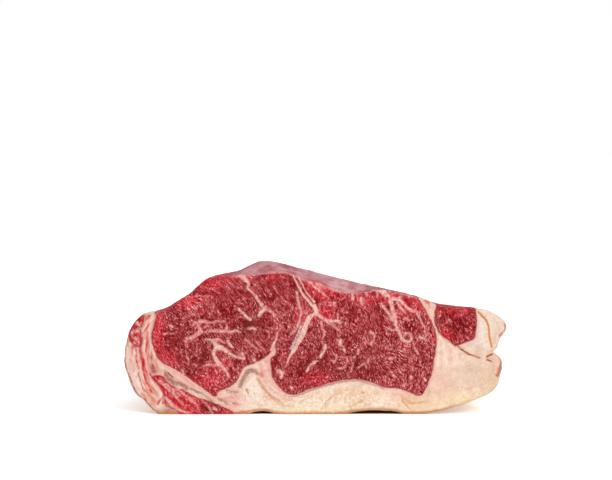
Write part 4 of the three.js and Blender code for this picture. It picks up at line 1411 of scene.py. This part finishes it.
# painted highlights and painted shade: pale mottles and white lines for lit ridges, tan mottles for shaded
# hollows
mottles = speckle(stretched(place_mm, *MOTTLE), detail=2.0, roughness=0.7)
mottled = plus(times(mapped("ridged_fat"), 1 - MOTTLED_EVERYWHERE), MOTTLED_EVERYWHERE)
highlight_mottles = times(step_between(mottles, *HIGHLIGHT_MOTTLES), mottled, HIGHLIGHT_MOTTLE_STRENGTH)
fat_colour = mix(highlight_mottles, fat_colour, HIGHLIGHT_WHITE)
shade_mottles = times(step_between(mottles, *SHADE_MOTTLES), mottled, SHADE_MOTTLE_STRENGTH)
fat_colour = mix(shade_mottles, fat_colour, SHADE_TAN)
ridge_noise = speckle(stretched(place_mm, *RIDGE), detail=2.0, roughness=0.6, distortion=0.8)
ridge_highlights = times(threads(ridge_noise, RIDGE_WIDTH), mapped("ridged_fat"), RIDGE_STRENGTH)
fat_colour = mix(ridge_highlights, fat_colour, HIGHLIGHT_WHITE)
capillary_noise = speckle(stretched(place_mm, *CAPILLARY), detail=2.0, roughness=0.6)
capillaries = times(threads(capillary_noise, CAPILLARY_WIDTH), CAPILLARY_STRENGTH)
fat_colour = mix(capillaries, fat_colour, CAPILLARY_RED)
fat_colour = mix(times(mapped("streaky_fat"), FLANK_IN_FAT), fat_colour, flank_colour)
fat_colour = mix(mapped("in_flank"), fat_colour, flank_colour)

# %% [markdown]
# ### Putting the layers together
#
# Each mark is a mask made from its distance, torn a little by a fine noise, and a colour. They are laid
# over one another from the widest to the finest. Many marks have two colours, and a noise or the stroke's
# own tone says how much of each shows.

# %% Masks with torn edges
TEAR = (2.0, 2.0, 2.0)
TEARS_COUNT, FLECKS_TEAR = 1.4, 1.6  # how much a noise of its own tears the edges, and how much the flecks
# Each mark, as (how far it is torn, where it begins to show, where it shows fully, how strongly). All but
# the strength are in millimetres from its edge.
MARKS = {
    "faint_mm": (0.9, 0.6, -0.6, 0.65),
    "crease_mm": (1.5, 0.8, -0.6, 0.75),
    "lean_mm": (0.8, -0.30, 0.35, 1.0),
    "red_mm": (0.8, 0.45, -0.35, 0.85),
    "seam_mm": (0.5, 0.30, -0.25, 1.0),
    "sheath_mm": (0.4, 0.35, -0.3, 0.75),
    "pit_mm": (1.2, 0.9, -0.9, 0.85),
    "orange_mm": (0.3, 0.35, -0.2, 1.0),
    "rim_mm": (1.2, 0.6, -0.5, 1.0),
    "fold_mm": (0.5, 0.5, -0.1, 0.95),
    "crevice_mm": (0.4, 0.25, -0.3, 0.75),
    "mark_mm": (1.0, 0.6, -0.6, 1.0),
    "speckled_mm": (1.0, 0.40, -0.4, 0.75),
}
torn = swing(speckle(stretched(place_mm, *TEAR), detail=3.0, roughness=0.65), TEARS_COUNT)
torn = plus(torn, swing(flecks, FLECKS_TEAR))


def mask_of(name):
    tear, outer, inner, strength = MARKS[name]
    return times(step_between(plus(mapped(name), times(torn, tear)), outer, inner), strength)


lean_mask = mask_of("lean_mm")
print("marks:", len(MARKS))

# %% Faint streaks with painted highlights, creases in painted shade, then lean over fat
FAINT_ROSY, FAINT_WHITE_AND_HIGHLIGHT = seen_as(230, 142, 130), seen_as(250, 228, 217)
CREASE_SHADE_TAN = seen_as(216, 168, 128)
BLUSH_PINK = seen_as(236, 168, 158)
BLUSH_REACH = (-2.6, -0.2)  # mm from the lean: the fat is stained with its juice from here to here
BLUSH_LOBES, BLUSH_STRENGTH = (0.35, 0.6), 0.6
SHEET_RED, SHEET_ROSY = seen_as(190, 40, 44), seen_as(222, 98, 92)
ROSY_FLECKS = (0.4, 0.6)
# the white of the faint streaks is partly painted highlight on the cap's ridges
fat_colour = mix(mask_of("faint_mm"), fat_colour, mix(mapped("faint_tone"), FAINT_ROSY, FAINT_WHITE_AND_HIGHLIGHT))
# painted shade along the creases
fat_colour = mix(times(mask_of("crease_mm"), mapped("crease_tone")), fat_colour, CREASE_SHADE_TAN)
blushing = times(step_between(mapped("lean_mm"), *BLUSH_REACH), step_between(lobes, *BLUSH_LOBES))
fat_colour = mix(times(blushing, BLUSH_STRENGTH), fat_colour, BLUSH_PINK)
colour = mix(lean_mask, fat_colour, lean_colour)
sheet_colour = mix(step_between(flecks, *ROSY_FLECKS), SHEET_RED, SHEET_ROSY)
colour = mix(mask_of("red_mm"), colour, sheet_colour)

# %% Seams, veins and sheaths
SEAM_DARK, SEAM_LIGHT = seen_as(230, 166, 156), seen_as(242, 204, 192)
PINK_VEIN = seen_as(208, 104, 110), seen_as(234, 154, 155)
WHITE_VEIN = seen_as(232, 166, 156), seen_as(250, 220, 210)
SHEATH_MAUVE = seen_as(190, 136, 138)
HALFWAY = (0.4, 0.6)  # values of a noise between which one colour gives way to the other
VEIN_TORN, VEIN_WALLS = 0.95, -0.25  # mm by which tearing and the bundles' walls move a vein's edge
VEIN_EDGE = (0.65, -0.55, 0.0, 0.92)  # mm from, to, and the amounts there
colour = mix(mask_of("seam_mm"), colour, mix(step_between(streaks, *HALFWAY), SEAM_DARK, SEAM_LIGHT))
mottle_share = step_between(mottles, *HALFWAY)
vein_colour = mix(mapped("vein_tone"), mix(mottle_share, *PINK_VEIN), mix(mottle_share, *WHITE_VEIN))
vein_edge = plus(plus(mapped("vein_mm"), times(torn, VEIN_TORN)), times(walls, VEIN_WALLS))
colour = mix(step_between(vein_edge, *VEIN_EDGE), colour, vein_colour)
colour = mix(mask_of("sheath_mm"), colour, SHEATH_MAUVE)

# %% Painted shade in pits, orange lines, dried rims, folds and painted shade in dark gaps
PIT_SHADE_GREY, PIT_SHADE_BROWN = seen_as(160, 118, 112), seen_as(172, 100, 84)
PIT_PALE, PIT_PALE_FLECKS = seen_as(220, 170, 158), (0.50, 0.66, 0.0, 0.7)
PIT_SHADE_DARK, PIT_SHADE_MOTTLES = seen_as(112, 66, 62), (0.48, 0.36, 0.0, 0.6)
ORANGE = seen_as(216, 142, 84)
RIM_BROWN, RIM_NEAR_CUT, RIM_BETWEEN_CUTS = seen_as(184, 92, 74), 0.85, 0.25
FOLD_BROWN = seen_as(176, 86, 48)
CREVICE_SHADE = seen_as(98, 26, 26)
# painted shade in the pits' hollows, grey and brown by the stroke's tone
pit_colour = mix(mapped("pit_tone"), PIT_SHADE_GREY, PIT_SHADE_BROWN)
pit_colour = mix(step_between(flecks, *PIT_PALE_FLECKS), pit_colour, PIT_PALE)
pit_colour = mix(step_between(mottles, *PIT_SHADE_MOTTLES), pit_colour, PIT_SHADE_DARK)
colour = mix(mask_of("pit_mm"), colour, pit_colour)
colour = mix(times(mask_of("orange_mm"), mapped("orange_tone")), colour, ORANGE)
rim_strength = step_between(mapped("between_cuts"), 0.0, 1.0, RIM_NEAR_CUT, RIM_BETWEEN_CUTS)
colour = mix(times(mask_of("rim_mm"), rim_strength), colour, RIM_BROWN)
colour = mix(mask_of("fold_mm"), colour, FOLD_BROWN)
# painted shade in the gaps between bundles
colour = mix(mask_of("crevice_mm"), colour, CREVICE_SHADE)

# %% Blood marks, painted shade on the underside and the speckled strip
BLOOD_RED = seen_as(206, 34, 42)
UNDERSIDE_SHADE_TAN, UNDERSIDE_SHADE_STRENGTH = seen_as(198, 138, 84), 0.85
STRIP_GREY, STRIP_WHITE = seen_as(146, 112, 114), seen_as(246, 230, 228)
STRIP_FLECKS = (0.42, 0.50)
colour = mix(times(mask_of("mark_mm"), mapped("mark_tone")), colour, BLOOD_RED)
# painted shade: a tan tint on the underside of the fat
colour = mix(times(mapped("underside_shade"), UNDERSIDE_SHADE_STRENGTH), colour, UNDERSIDE_SHADE_TAN)
strip_colour = mix(step_between(flecks, *STRIP_FLECKS), STRIP_GREY, STRIP_WHITE)
colour = mix(mask_of("speckled_mm"), colour, strip_colour)

# %% [markdown]
# ### The outside
#
# Where the lean comes to the outside it is wrapped in silverskin, a thin tough membrane that makes it
# mauve and hides the fibres. It is mixed over the lean by how far the surface turns away from the cuts,
# and the knife's cut through it shows as a thin pale line along the top edge. The butcher has trimmed it
# off at both ends and in a few spots behind the front edge, and there the lean is bare.

# %% Silverskin over the lean on the outside
SILVER_LINE = (7.0, 30.0, 7.0)
SILVER_DARK, SILVER_LIGHT = seen_as(180, 86, 97), seen_as(216, 148, 155)
SILVER_PALE = seen_as(233, 192, 193)
SKIN_EDGE = seen_as(240, 186, 182)
LIGHT_LINES = (0.38, 0.62)
PALE_CLOUDS, PALE_SKIN_STRENGTH = (0.55, 0.72, 0.0, 0.6), 0.55
SKIN_TORN = (0.35, 0.6, 0.2, 0.8)
OUTSIDE_STRENGTH = 0.9
silver_lines = speckle(stretched(place_mm, *SILVER_LINE), detail=3.0, roughness=0.6)
silverskin = mix(step_between(silver_lines, *LIGHT_LINES), SILVER_DARK, SILVER_LIGHT)
paler = plus(step_between(clouds, *PALE_CLOUDS), times(mapped("pale_skin"), PALE_SKIN_STRENGTH))
silverskin = mix(paler, silverskin, SILVER_PALE)
outer = mix(mapped("silverskin"), lean_colour, silverskin)
colour = mix(times(mapped("outside"), lean_mask, OUTSIDE_STRENGTH), colour, outer)
skin_torn = step_between(mottles, *SKIN_TORN)
skin_edge = times(mapped("skin_edge"), mapped("silverskin"), lean_mask, skin_torn)
colour = mix(skin_edge, colour, SKIN_EDGE)

# %% [markdown]
# ### Gloss and fine relief
#
# Raw meat is wet: lean mirrors more sharply than fat, and the small bumps between the fibres break every
# reflection into glints. These bumps are finer than the mesh, so they stay in the material as a bump. A
# little light also passes under the surface, which softens the edges of the fat.

# %% Gloss, bump and a little light under the surface
WET_PATCH = (6, 6, 6)
LEAN_GLOSS = (0.35, 0.65, 0.30, 0.46)  # wetness from, to, and the roughness there
FAT_ROUGHNESS = 0.5
FAT_BUMP, FAT_BUMPS_COUNT = (1.6, 1.6, 1.6), 0.6
PACKET_BUMPS_COUNT = 0.7
BUMP_HEIGHT, BUMP_STRENGTH = 0.26 * MM, 0.9
WET_MEAT = {
    "IOR": 1.34,
    "Specular IOR Level": 0.16,
    "Subsurface Weight": 0.12,
    "Subsurface Radius": (1.0, 0.35, 0.25),
    "Subsurface Scale": 1.0 * MM,
}
wetness = speckle(stretched(place_mm, *WET_PATCH), detail=2.0)
lean_roughness = step_between(wetness, *LEAN_GLOSS)
feed(shader.inputs["Roughness"], mix_number(lean_mask, FAT_ROUGHNESS, lean_roughness))

fat_bumps = times(speckle(stretched(place_mm, *FAT_BUMP), detail=3.0, roughness=0.6), FAT_BUMPS_COUNT)
lean_bumps = plus(flecks, times(packets, PACKET_BUMPS_COUNT))
bump = tree.nodes.new("ShaderNodeBump")
feed(bump.inputs["Height"], mix_number(lean_mask, fat_bumps, lean_bumps))
bump.inputs["Distance"].default_value = BUMP_HEIGHT
bump.inputs["Strength"].default_value = BUMP_STRENGTH
feed(shader.inputs["Normal"], bump.outputs["Normal"])

feed(shader.inputs["Base Color"], colour)
for socket, setting in WET_MEAT.items():
    shader.inputs[socket].default_value = setting
squares.materials.clear()
squares.materials.append(beef)
squares.polygons.foreach_set("use_smooth", np.ones(len(squares.polygons), bool))
print("nodes in the material:", len(tree.nodes))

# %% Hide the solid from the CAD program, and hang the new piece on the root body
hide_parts("beef_loin")
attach(loin, "root")
